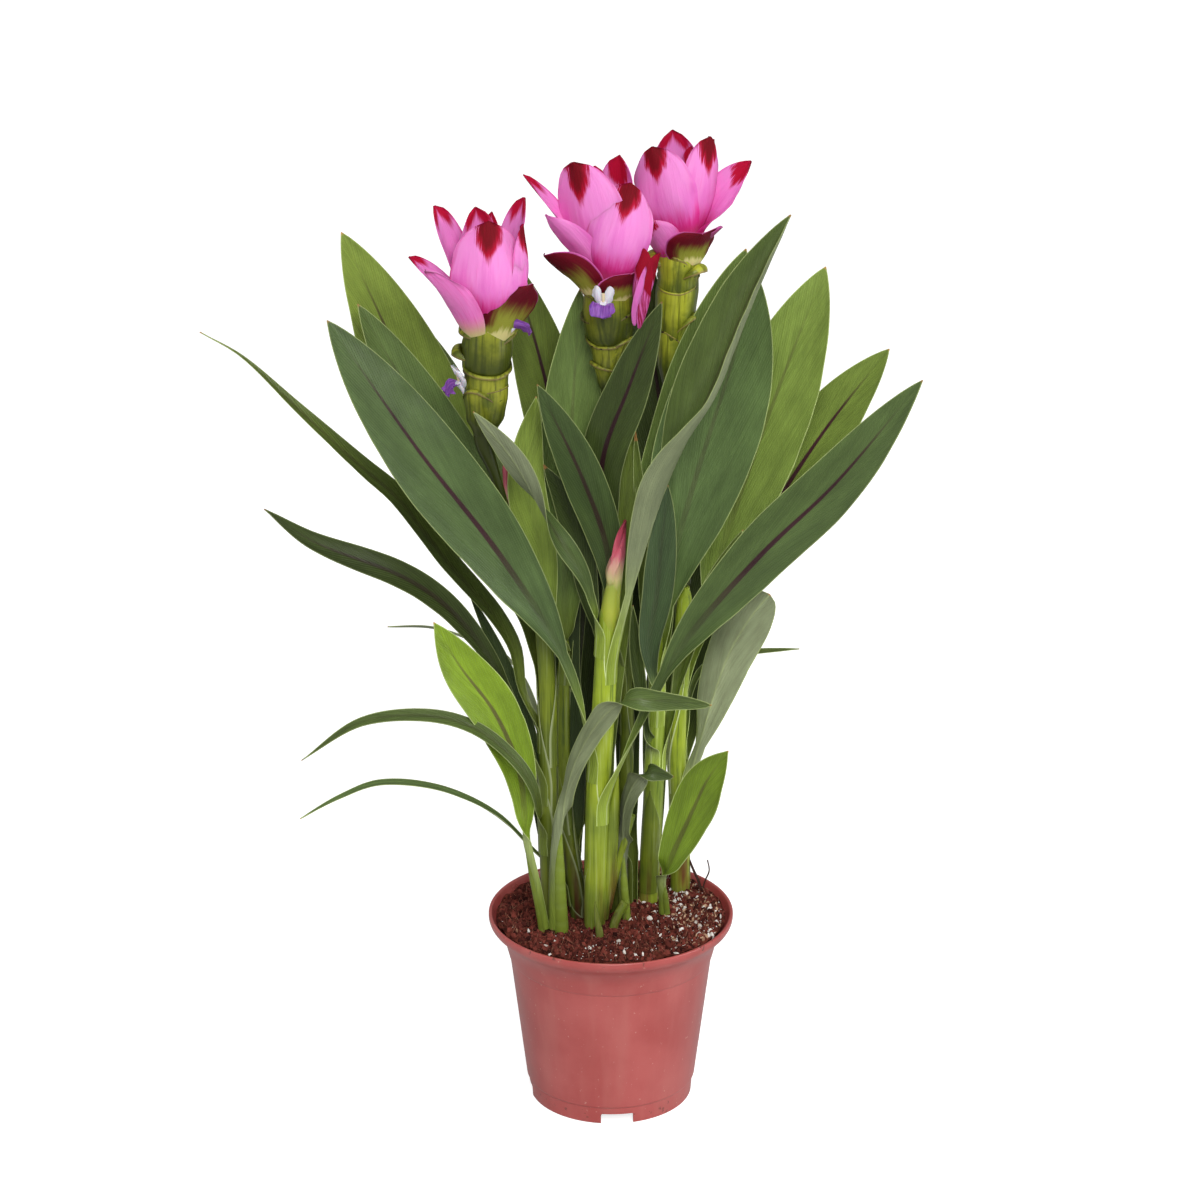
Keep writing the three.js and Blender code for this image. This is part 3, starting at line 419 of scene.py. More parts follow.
def stemAt(name, z):                        # centre and radius at a height
    stations = stems[name]
    last = len(stations) - 2
    k = 0
    while k < last and stations[k + 1][2] < z:
        k += 1
    low, high = stations[k], stations[k + 1]
    rise = high[2] - low[2]
    t = min(max((z - low[2]) / rise, 0), 1)

    def slope(i):
        a, b = stations[max(i - 1, 0)], stations[min(i + 1, len(stations) - 1)]
        return [(b[axis] - a[axis]) / (b[2] - a[2]) for axis in (0, 1)]
    t2, t3 = t * t, t * t * t
    ends = [(2 * t3 - 3 * t2 + 1) * low[axis] + (3 * t2 - 2 * t3) * high[axis] for axis in (0, 1)]
    lead = [((t3 - 2 * t2 + t) * m + (t3 - t2) * n) * rise for m, n in zip(slope(k), slope(k + 1))]
    return Vector((ends[0] + lead[0], ends[1] + lead[1], z)), mix(low[3], high[3], t)


def addStem(draft, name):
    bottom, top = stems[name][0][2], stems[name][-1][2]
    look = stemLook
    rings, values = [], []
    for row in range(look["rows"] + 1):
        share = row / look["rows"]
        centre, radius = stemAt(name, mix(bottom, top, share))
        radius *= mix(1, 0.55, smooth(0.965, 1, share))

        def ribs(angle):
            return look["ribDepth"] * math.cos(look["ribs"] * angle + 3 * math.sin(centre.z * 0.01))
        rings.append(ringAround(centre, Vector((1, 0, 0)), Vector((0, 1, 0)), radius, look["sides"], ribs))
        values.append((0, share, centre.z, radius, 1, 0))
    addTube(draft, rings, values)


def addSheath(draft, stem, top, length, side, wrapTop, wrapFoot, lift, pointed=False):
    look = sheathLook
    rows = []
    for row in range(look["rows"] + 1):
        share = row / look["rows"]
        z = mix(top, top - length, share)
        centre, radius = stemAt(stem, z)
        wrap = mix(wrapTop, wrapFoot, smooth(0, 0.8, share))
        if pointed:
            wrap *= mix(0.04, 1, smooth(0, 0.4, share) ** 0.7)
        raised = radius + mix(lift, 0.12, smooth(0.6, 1, share))
        cells = []
        for column in range(look["columns"] + 1):
            place = 2 * column / look["columns"] - 1
            direction = bearingVector(side + math.degrees(wrap * place))
            edge = abs(place) ** 6
            ripple = 0.12 * noise.noise(Vector((place * 2, z * 0.06, side))) * edge
            thick = mix(look["thickness"], 0.15, edge)
            cells.append((centre + direction * (raised + thick + ripple),
                          centre + direction * (raised + ripple),
                          (place, share, z, raised * wrap), 1))
        rows.append(cells)
    addShell(draft, rows)
    return draft


# Leaves. Each leaves its stem at a height and a bearing, runs on through points to its tip, and turns its
# upper side to "face". "blade" is the share of the route where the blade starts.

leaves = {
    "left_broad_front": {
        "stem": "middle", "leaves": 212, "side": 215,
        "via": [[-25.5, -27, 277], [-58.4, -33, 338.7], [-104.1, -34, 402.9]], "tip": [-152, -22, 472],
        "width": 43, "face": [0.35, -0.88, 0.3], "blade": 0.27,
    },
    "left_tall": {
        "stem": "back_left", "leaves": 240, "side": 150,
        "via": [[-37, 20, 272], [-65.7, 32, 327], [-104.1, 42, 401.6]], "tip": [-148, 48, 501],
        "width": 50, "face": [0.4, -0.85, 0.3], "blade": 0.22,
    },
    "left_second": {
        "stem": "left", "leaves": 260, "side": 150,
        "via": [[-45, -2, 297], [-67, 5, 343], [-101, 12, 402]], "tip": [-138, 18, 469], "width": 38,
        "face": [0.4, -0.85, 0.3], "blade": 0.08,
    },
    "left_back": {
        "stem": "back_left", "leaves": 218, "side": 100,
        "via": [[-39, 34, 266], [-61, 52, 332], [-90, 64, 402]], "tip": [-124, 72, 463], "width": 34,
        "face": [0.75, -0.5, 0.4], "blade": 0.14,
    },
    "left_long_thin": {
        "stem": "left", "leaves": 228, "side": 170,
        "via": [[-50.5, 0, 249.2], [-54.8, 2, 273.8], [-64.7, 4, 291.6], [-76.3, 6, 305.7],
                [-90.6, 8, 322.2], [-105.3, 9, 342.5], [-118.9, 10, 360.4], [-139.1, 12, 378.4],
                [-172, 15, 409.9], [-203.3, 20, 439.3]], "tip": [-225, 22, 452], "width": 15,
        "face": [0.45, -0.6, 0.6], "blade": 0.1, "fold": 0.7, "fullness": 1.5,
    },
    "left_side": {
        "stem": "left", "leaves": 197, "side": 215,
        "via": [[-55.9, -10, 247.3], [-63.9, -16, 268.4], [-75.7, -20, 289.1], [-89.6, -26, 308.6],
                [-103.5, -30, 321.9], [-118.4, -33, 331.8], [-163.3, -38, 352.8]], "tip": [-187, -42, 372],
        "width": 16, "face": [0.3, -0.75, 0.5], "blade": 0.3, "fold": 0.55, "fullness": 0.9,
    },
    "left_narrow_back": {
        "stem": "back_left", "leaves": 196, "side": 165,
        "via": [[-55.9, 20, 258], [-76.3, 28, 267], [-100.3, 36, 272.4]], "tip": [-127, 42, 271],
        "width": 10, "face": [0.1, 0.4, 0.9], "blade": 0.3,
    },
    "left_arching_high": {
        "stem": "left", "leaves": 166, "side": 215,
        "via": [[-44.6, -33, 206.9], [-57.6, -38, 227.8], [-75.7, -40, 243.1], [-99.9, -38, 249.4],
                [-137.6, -36, 245]], "tip": [-172, -34, 221], "width": 9, "face": [0.1, -0.6, 0.8],
        "blade": 0.05, "fullness": 1,
    },
    "left_arching_low": {
        "stem": "back_left", "leaves": 128, "side": 170,
        "via": [[-45, 5, 148.9], [-64.9, 8, 168.9], [-96.1, 10, 184.2], [-131.4, 12, 187],
                [-154.5, 14, 177.4]], "tip": [-178, 16, 163], "width": 6.5, "face": [0.1, -0.2, 0.95],
        "blade": 0.3,
    },
    "middle_upright": {
        "stem": "back_left", "leaves": 262, "side": 280, "via": [[-25.5, 6, 324], [-21, 14, 415]],
        "tip": [-17, 20, 477], "width": 35, "face": [0.05, -1, 0.1], "blade": 0.12,
    },
    "middle_leaning_right": {
        "stem": "centre", "leaves": 280, "side": 140, "via": [[-1.5, 5, 326], [-5, 0, 383], [10, -7, 431]],
        "tip": [27, -8, 478], "width": 26, "face": [-0.2, -0.95, 0.2], "blade": 0.25,
    },
    "middle_leaning_left": {
        "stem": "centre", "leaves": 252, "side": 222,
        "via": [[1, -1, 302], [-3, -3, 337], [-16, -11, 379]], "tip": [-40, -16, 434], "width": 24,
        "face": [0.3, -0.9, 0.2], "blade": 0.3,
    },
    "middle_dark_tip": {
        "stem": "centre", "leaves": 232, "side": 170, "via": [[-11, 3, 297], [-18, 2, 336], [-27, 0, 364]],
        "tip": [-37, -4, 384], "width": 16, "face": [0.2, -0.95, 0.1], "blade": 0.4,
    },
    "middle_twisted": {
        "stem": "middle", "leaves": 288, "side": 212,
        "via": [[-15, -26, 326], [-32, -29, 356], [-53, -34, 397]], "tip": [-74, -38, 426], "width": 16,
        "face": [0.3, -0.9, 0.3], "twist": 150, "blade": 0.25,
    },
    "middle_bright": {
        "stem": "left", "leaves": 288, "side": 60, "via": [[-38, -3, 323], [-47, 0, 374]],
        "tip": [-41, 6, 420], "width": 22, "face": [0.2, -1, 0.1], "blade": 0.12,
    },
    "middle_back_left": {
        "stem": "back_left", "leaves": 256, "side": 50,
        "via": [[-23, 34, 338], [-31, 44, 391], [-39, 48, 426]], "tip": [-55, 50, 486], "width": 34,
        "face": [0.15, -0.97, 0.1], "blade": 0.25,
    },
    "middle_back": {
        "stem": "right", "leaves": 236, "side": 98,
        "via": [[32, 28, 280], [33, 42, 335], [27, 52, 403], [20, 58, 448]], "tip": [14, 64, 497],
        "width": 32, "face": [-0.1, -0.98, 0.1], "blade": 0.25,
    },
    "middle_dry_tip": {
        "stem": "right", "leaves": 270, "side": 200, "via": [[17.5, 5, 300], [17.5, 3, 335]],
        "tip": [13, 0, 402], "width": 7, "face": [-0.3, -0.9, 0.1], "blade": 0.3,
    },
    "middle_shaded": {
        "stem": "right", "leaves": 236, "side": 275, "via": [[21, -6, 278], [25, -9, 309], [28, -9, 344]],
        "tip": [31, -9, 374], "width": 19, "face": [0.3, -0.9, 0.1], "blade": 0.25,
    },
    "middle_small": {
        "stem": "right", "leaves": 206, "side": 250, "via": [[18, -3, 241], [14, -5, 275]],
        "tip": [12, -5, 302], "width": 8, "face": [-0.3, -0.9, 0.1], "blade": 0.3,
    },
    "right_folded_front": {
        "stem": "middle", "leaves": 272, "side": 320,
        "via": [[15, -25, 333], [31, -28, 385], [52, -26, 431], [75, -20, 488]], "tip": [95, -14, 528],
        "width": 45, "face": [-0.8, -0.5, 0.2], "blade": 0.2, "fold": 1.25, "turnsAt": [0.25, 0.6],
    },
    "right_upright": {
        "stem": "right", "leaves": 272, "side": 75,
        "via": [[26, 14, 345.4], [42.3, 18, 396.7], [56.2, 20, 442.2]], "tip": [73, 22, 499], "width": 42,
        "face": [-0.15, -0.97, 0.15], "blade": 0.2,
    },
    "right_dark_broad": {
        "stem": "right", "leaves": 254, "side": 335,
        "via": [[33.7, 4, 319.6], [44.4, 1, 367.7], [56, -1, 408.9], [67.5, 0, 448.5]],
        "tip": [78, 2, 491], "width": 56, "face": [-0.1, -0.98, 0.15], "blade": 0.22,
    },
    "right_pale_broad": {
        "stem": "far_right", "leaves": 252, "side": 350,
        "via": [[58.9, 27, 312.1], [74.4, 26, 364.7], [93, 28, 419.5]], "tip": [117, 32, 486], "width": 49,
        "face": [-0.25, -0.9, 0.3], "blade": 0.22,
    },
    "right_behind": {
        "stem": "far_right", "leaves": 236, "side": 50,
        "via": [[59, 42, 281], [87.5, 50, 332.4], [120.1, 56, 383.9]], "tip": [155, 58, 431], "width": 38,
        "face": [-0.3, -0.8, 0.5], "blade": 0.3,
    },
    "right_broad_front": {
        "stem": "middle", "leaves": 186, "side": 315,
        "via": [[16, -25, 238], [37.8, -31, 286.4], [80.6, -38, 343.5], [120.8, -40, 386.2]],
        "tip": [166, -36, 443], "width": 33, "face": [-0.3, -0.85, 0.4], "blade": 0.32,
    },
    "right_small_strip": {
        "stem": "right", "leaves": 206, "side": 5, "via": [[43, 14, 270], [57, 13, 307]],
        "tip": [73, 13, 340], "width": 12, "face": [-0.4, -0.85, 0.3], "blade": 0.3,
    },
    "right_underside": {
        "stem": "far_right", "leaves": 172, "side": 325,
        "via": [[51.3, 22, 209.3], [58.9, 19, 239.5], [67, 16, 265.7], [78.2, 10, 289.2]],
        "tip": [88.4, 6, 304.5], "width": 29, "face": [0.5, 0.8, 0.3], "blade": 0.3, "fullness": 0.5,
    },
    "right_far_back": {
        "stem": "far_right", "leaves": 205, "side": 45, "via": [[51.1, 50, 239.7], [73.6, 70, 242.2]],
        "tip": [110, 88, 239], "width": 6, "face": [-0.1, -0.3, 0.95], "blade": 0.3,
    },
    "back_hidden_left": {
        "stem": "back_left", "leaves": 150, "side": 60,
        "via": [[-17, 20, 200], [-16, 36, 250], [-16, 62, 310]], "tip": [-14, 92, 368], "width": 32,
        "face": [0.1, -0.8, 0.6], "blade": 0.05, "fullness": 1.2,
    },
    "back_hidden_right": {
        "stem": "far_right", "leaves": 165, "side": 110, "via": [[42, 55, 225], [46, 80, 300]],
        "tip": [52, 108, 360], "width": 32, "face": [-0.1, -0.8, 0.6], "blade": 0.1, "fullness": 1.2,
    },
}

youngShoots = {
    "shoot_front_left": {
        "stalk": [[-39, -22, 96, 1.8], [-39.4, -22.6, 112, 1.9], [-44.5, -25, 145, 1.7],
                  [-48, -26, 163, 1.4]],
        "via": [[-50.8, -27, 209.1], [-63.8, -30, 246.6], [-83.7, -33, 277.7]], "tip": [-97, -36, 304],
        "width": 29, "face": [0.3, -0.85, 0.4], "blade": 0.1, "fullness": 0.95, "taper": 1.7,
    },
    "shoot_arching": {
        "stalk": [[-28, -22.6, 96, 3.8], [-28, -22.6, 112, 4], [-29, -23, 150, 3], [-28, -24, 176, 1.8]],
        "via": [[-18, -32, 223], [5, -42, 259], [28, -44, 261]], "tip": [55, -46, 259], "width": 14,
        "face": [0.7, 0.5, 0.4], "twist": 150, "blade": 0.1, "fullness": 0.6, "twistsAt": [0.5, 0.86],
    },
    "shoot_right": {
        "stalk": [[32, -3, 96, 2], [32, -3, 112, 2], [31, -5, 124, 1.8], [30.4, -6, 134, 1.4]],
        "via": [[34.1, -8, 148.7], [40.2, -9, 164.7], [46.8, -11, 181.8], [53.9, -13, 199.3]],
        "tip": [65.3, -18, 219.8], "width": 27, "face": [-0.4, -0.85, 0.3], "blade": 0.02,
        "fullness": 0.95, "taper": 1.5,
    },
    "shoot_curled": {
        "stalk": [[9, -9, 96, 2.2], [9, -9, 112, 2.4], [7.5, -9.6, 134, 2.2], [7, -10.4, 156, 1.9]],
        "via": [[9, -15, 188], [19, -20, 207]], "tip": [35, -25, 207], "width": 13,
        "face": [0.8, 0.4, 0.4], "twist": 150, "blade": 0.1, "fullness": 0.6, "twistsAt": [0.62, 0.95],
    },
}

# Leaves inside the clump, that rise from the soil between the stems, made dark with painted shade
innerLeaves = {
    "inner_bright": {
        "foot": [-1, 3], "radii": [1.6, 1.6, 1.5, 1.3],
        "via": [[0, 3, 241.9], [3.8, 3, 308.1], [7, 3, 355.3]], "tip": [12.4, 3, 405.2], "width": 17,
        "face": [-0.1, -0.95, 0.1], "blade": 0.3, "fullness": 0.9,
    },
    "inner_outer": {
        "foot": [-36.5, 4], "radii": [1.6, 1.6, 1.5, 1.3], "via": [[-47.4, 6, 219.2], [-60.7, 10, 260.3]],
        "tip": [-79.9, 14, 303.9], "width": 11, "face": [0.3, -0.9, 0.2], "blade": 0.02, "fullness": 0.9,
    },
    "inner_left": {
        "foot": [-21.6, 6], "radii": [2.2, 2.2, 2.2, 2.2], "via": [[-22.1, 8, 203], [-25.3, 14, 261.7]],
        "tip": [-16.2, 20, 343.3], "width": 17, "face": [0.2, -0.95, 0.1], "blade": 0.02, "fullness": 1.1,
    },
    "inner_middle": {
        "foot": [-10.8, 16], "radii": [1.6, 1.6, 1.6, 1.6], "via": [[-11.9, 18, 211], [-10.7, 22, 264.5]],
        "tip": [-6.2, 26, 341.1], "width": 14, "face": [0.3, -0.9, 0.1], "blade": 0.02, "fullness": 1.1,
    },
    "inner_right": {
        "foot": [11, 12], "radii": [2.4, 2.4, 2.4, 2.4], "via": [[9.7, 14, 212.7], [10.7, 18, 272.2]],
        "tip": [19.4, 22, 354.4], "width": 15, "face": [-0.3, -0.9, 0.1], "blade": 0.02, "fullness": 1.1,
    },
    "inner_far": {
        "foot": [25.5, 24], "radii": [2.2, 2.2, 2.2, 2.2], "via": [[25.7, 26, 220], [30, 30, 267.4]],
        "tip": [36.4, 34, 338.2], "width": 15, "face": [-0.1, -0.9, 0.1], "blade": 0.02, "fullness": 1.1,
    },
}
for leaf in innerLeaves.values():
    leaf["stalk"] = [[*leaf["foot"], z, radius] for z, radius in zip((100, 112, 126, 138), leaf["radii"])]

leafLook = {"stalkRows": 16, "bladeRows": 48, "columns": 14, "middle": 0.55, "edge": 0.28,
            "claspAngle": 0.85, "stalkAngle": 2.6, "petioleAngle": 1, "petioleHalf": 3.7,
            "claspLength": 12, "narrow": 20, "fullness": 0.85, "gap": 0.4, "lift": 0.4}

# How strong the dark stripe is, how much light comes through (painted light), the dry share of the tip,
# how cool the leaf is, and how light it is, partly its own tone and partly painted light and shade
leafTones = {
    "left_broad_front": (1, 0.12, 0, 1, 0.8), "left_tall": (0.9, 0.7, 0, 0.2, 1.25),
    "left_second": (0.6, 0.2, 0, 0.9, 1.05), "left_back": (0.2, 0.3, 0, 0.3, 1),
    "left_long_thin": (0.3, 0.35, 0, 0, 0.85), "left_side": (0.6, 0.08, 0, 0, 0.5),
    "left_narrow_back": (0, 0.05, 0, 1, 1.2), "left_arching_high": (0.2, 0.2, 0, 0.3, 0.8),
    "left_arching_low": (0, 0.2, 0, 1, 1.2), "middle_upright": (0.25, 0.25, 0, 0.8, 1.25),
    "middle_leaning_right": (1, 0.05, 0, 0.1, 0.65), "middle_leaning_left": (0.8, 0.05, 0, 0.6, 0.75),
    "middle_dark_tip": (0, 0, 0.02, 0, 0.7), "middle_twisted": (0.3, 0.1, 0, 0.5, 0.8),
    "middle_bright": (0, 0.75, 0, 0.2, 1.25), "middle_back_left": (1, 0.55, 0, 0, 0.85),
    "middle_back": (0.9, 0.05, 0, 0, 0.7), "middle_dry_tip": (0, 0.4, 0.05, 0, 0.9),
    "middle_shaded": (0.2, 0, 0, 1, 0.6), "middle_small": (0, 0, 0, 0, 0.7),
    "right_folded_front": (0.3, 0.2, 0, 0.4, 0.88), "right_upright": (0.2, 0.25, 0, 0.5, 1.3),
    "right_dark_broad": (0.3, 0.12, 0, 1, 1.15), "right_pale_broad": (0.35, 0.6, 0, 0.9, 1.42),
    "right_behind": (1, 0.55, 0, 0.4, 1.2), "right_broad_front": (1, 0.15, 0, 0.8, 0.82),
    "right_small_strip": (0.2, 0.3, 0, 0, 1), "right_underside": (0.2, 0.1, 0, 1, 1.42),
    "right_far_back": (0.1, 0.3, 0, 0, 1), "back_hidden_left": (0.4, 0.1, 0, 0, 0.45),
    "back_hidden_right": (0.4, 0.1, 0, 0, 0.6), "shoot_front_left": (0.7, 0.8, 0, -1, 1.35),
    "shoot_arching": (0.2, 0.2, 0, 0.5, 0.9), "shoot_right": (0.5, 0.6, 0, -1, 1.35),
    "shoot_curled": (0.2, 0.2, 0, 0.6, 0.6), "inner_outer": (0, 0, 0, 0.4, 0.6),
    "inner_left": (0, 0, 0, 0.4, 0.45), "inner_middle": (0, 0, 0, 0, 0.35),
    "inner_right": (0, 0, 0, 0.2, 0.45), "inner_far": (0, 0.1, 0, 0, 0.7),
    "inner_bright": (0, 0.7, 0, 0, 0.75),
}


def bladeProfile(t, fullness, taper=1):     # half-width along a blade, 1 at its widest
    widest = taper / (taper + fullness)
    return t ** taper * max(1 - t, 0) ** fullness / (widest ** taper * (1 - widest) ** fullness)


def addLeaf(draft, leaf, root, seed):
    look = leafLook
    face = Vector(leaf["face"])
    width, fold = leaf["width"], leaf.get("fold", 0.3)
    fullness, taper = leaf.get("fullness", look["fullness"]), leaf.get("taper", 1)
    petiole = min(look["petioleHalf"], 0.14 * width + 0.8)
    points = root["path"] + [Vector(p) for p in (*leaf["via"], leaf["tip"])]
    length, tAt = evenRoute(points)
    claspEnd = root["claspLength"] / length
    blade = (root["below"] + leaf["blade"] * (length - root["below"])) / length
    spans = ((0, claspEnd, 4), (claspEnd, blade, look["stalkRows"]), (blade, 1, look["bladeRows"]))
    stations = [mix(a, b, k / n) for a, b, n in spans for k in range(n)] + [1]
    columns = [2 * k / look["columns"] - 1 for k in range(look["columns"] + 1)]
    wave = leaf.get("wave", 0.035 * width)
    rows = []
    for u in stations:
        t = tAt(u)
        along = routeDirection(points, t)
        centre = routePoint(points, t)
        outward, claspRadius, clear, short = root["around"](centre)
        if short > 0:
            centre = centre + outward * short
        free = smooth(0, 7, clear)
        share = max(0, (u - blade) / (1 - blade))
        half = mix(claspRadius * root["wrap"], petiole, free)
        half += max(width / 2 - half, 0) * bladeProfile(share, fullness, taper)
        if share > 0.5:
            half = max(width / 2 * bladeProfile(share, fullness, taper), 0.16)
        angle = mix(mix(root["wrap"], look["petioleAngle"], free), fold, smooth(0, 0.3, share))
        inward = across(-outward, along)
        wanted = across(face, along)
        turn = math.atan2(inward.cross(wanted).dot(along), inward.dot(wanted))
        settle = smooth(claspEnd, max(blade, claspEnd + 0.12), u)
        if "turnsAt" in leaf:
            settle = smooth(*leaf["turnsAt"], share)
        twist = math.radians(leaf.get("twist", 0)) * smooth(*leaf.get("twistsAt", (0.1, 0.8)), share)
        normal = Quaternion(along, turn * settle + twist) @ inward
        side = along.cross(normal)
        radius = half / angle
        distance = u * length
        thin = mix(1, 0.45, share)
        cells = []
        for place in columns:
            phi = angle * place
            point = centre + normal * (radius * (1 - math.cos(phi))) + side * (radius * math.sin(phi))
            out = normal * math.cos(phi) - side * math.sin(phi)
            calm = smooth(0.02, 0.25, share) * smooth(1.02, 0.8, share)
            ripple = noise.noise(Vector((distance * 0.022, seed * 7.3 + (5 if place > 0 else 0), 0.5)))
            ripple += 0.5 * noise.noise(Vector((distance * 0.07, seed * 3.1 + (9 if place > 0 else 0), 2)))
            point = point + out * (wave * calm * ripple * abs(place) ** 2)
            keel = math.exp(-((place * half) / (1.1 * thin)) ** 2) * smooth(-0.02, 0.05, share)
            thickness = mix(look["middle"], look["edge"], abs(place) ** 2)
            upper = thickness / 2 - 0.35 * keel * thin
            lower = thickness / 2 + 0.75 * keel * thin
            cells.append((point + out * upper, point - out * lower, (place, share, distance, half), u))
        rows.append(cells)
    addShell(draft, rows)
    return draft


def rootOnStem(leaf):                       # where a leaf base lies on its stem
    look, stem, height = leafLook, leaf["stem"], leaf["leaves"]
    steps = 2 if leaf["width"] < look["narrow"] else 4
    wrapShare = math.cos(look["claspAngle"] / steps)
    outward = bearingVector(leaf["side"])

    def radiusAt(z):
        return (stemAt(stem, z)[1] + look["gap"]) / wrapShare + look["lift"]

    def around(point):
        offset = point - stemAt(stem, point.z)[0]
        offset.z = 0
        radius = radiusAt(point.z)
        clear = max(offset.length - radius, point.z - stems[stem][-1][2])
        return offset.normalized(), radius, max(clear, 0), -clear
    path = [stemAt(stem, z)[0] + outward * radiusAt(z) for z in (height - look["claspLength"], height)]
    return {"path": path, "claspLength": look["claspLength"], "below": 0, "around": around,
            "wrap": look["claspAngle"]}


# the inside of a shoot, that ends in a point inside its rolled leaf
def addStalk(draft, stalk):
    inner = newDraft()
    addBar(inner, [*stalk[:-1], [*stalk[-1][:3], 0.3]], 20, 20)
    start = len(draft["points"])
    draft["points"] += inner["points"]
    draft["values"] += [(v[0], 0, *v[2:5], 0) for v in inner["values"]]
    draft["faces"] += [[start + k for k in face] for face in inner["faces"]]


def rootOnStalk(shoot):                     # where the leaf of a young shoot wraps its stalk
    path = [Vector(s[:3]) for s in shoot["stalk"][1:]]
    outward = Vector(shoot["via"][0]) - path[-2]
    outward.z = 0
    outward.normalize()
    length, _ = evenRoute(path)
    low, high = shoot["stalk"][1], shoot["stalk"][-1]

    def around(point):
        share = min(max((point.z - low[2]) / (high[2] - low[2]), 0), 1)
        return outward, mix(low[3], high[3], share) + 0.5, max(point.z - high[2], 0) * 0.5, 0
    return {"path": path, "claspLength": length, "below": length - (path[-1] - path[-2]).length,
            "around": around, "wrap": leafLook["stalkAngle"]}


# Flower heads. "cone" runs from the lowest pouch to the foot of the crown, "column" lists its radius by
# height, a pouch is [bearing, foot, rim, half its wrap, drop at its sides, flare], and "crown" lists the
# bracts.

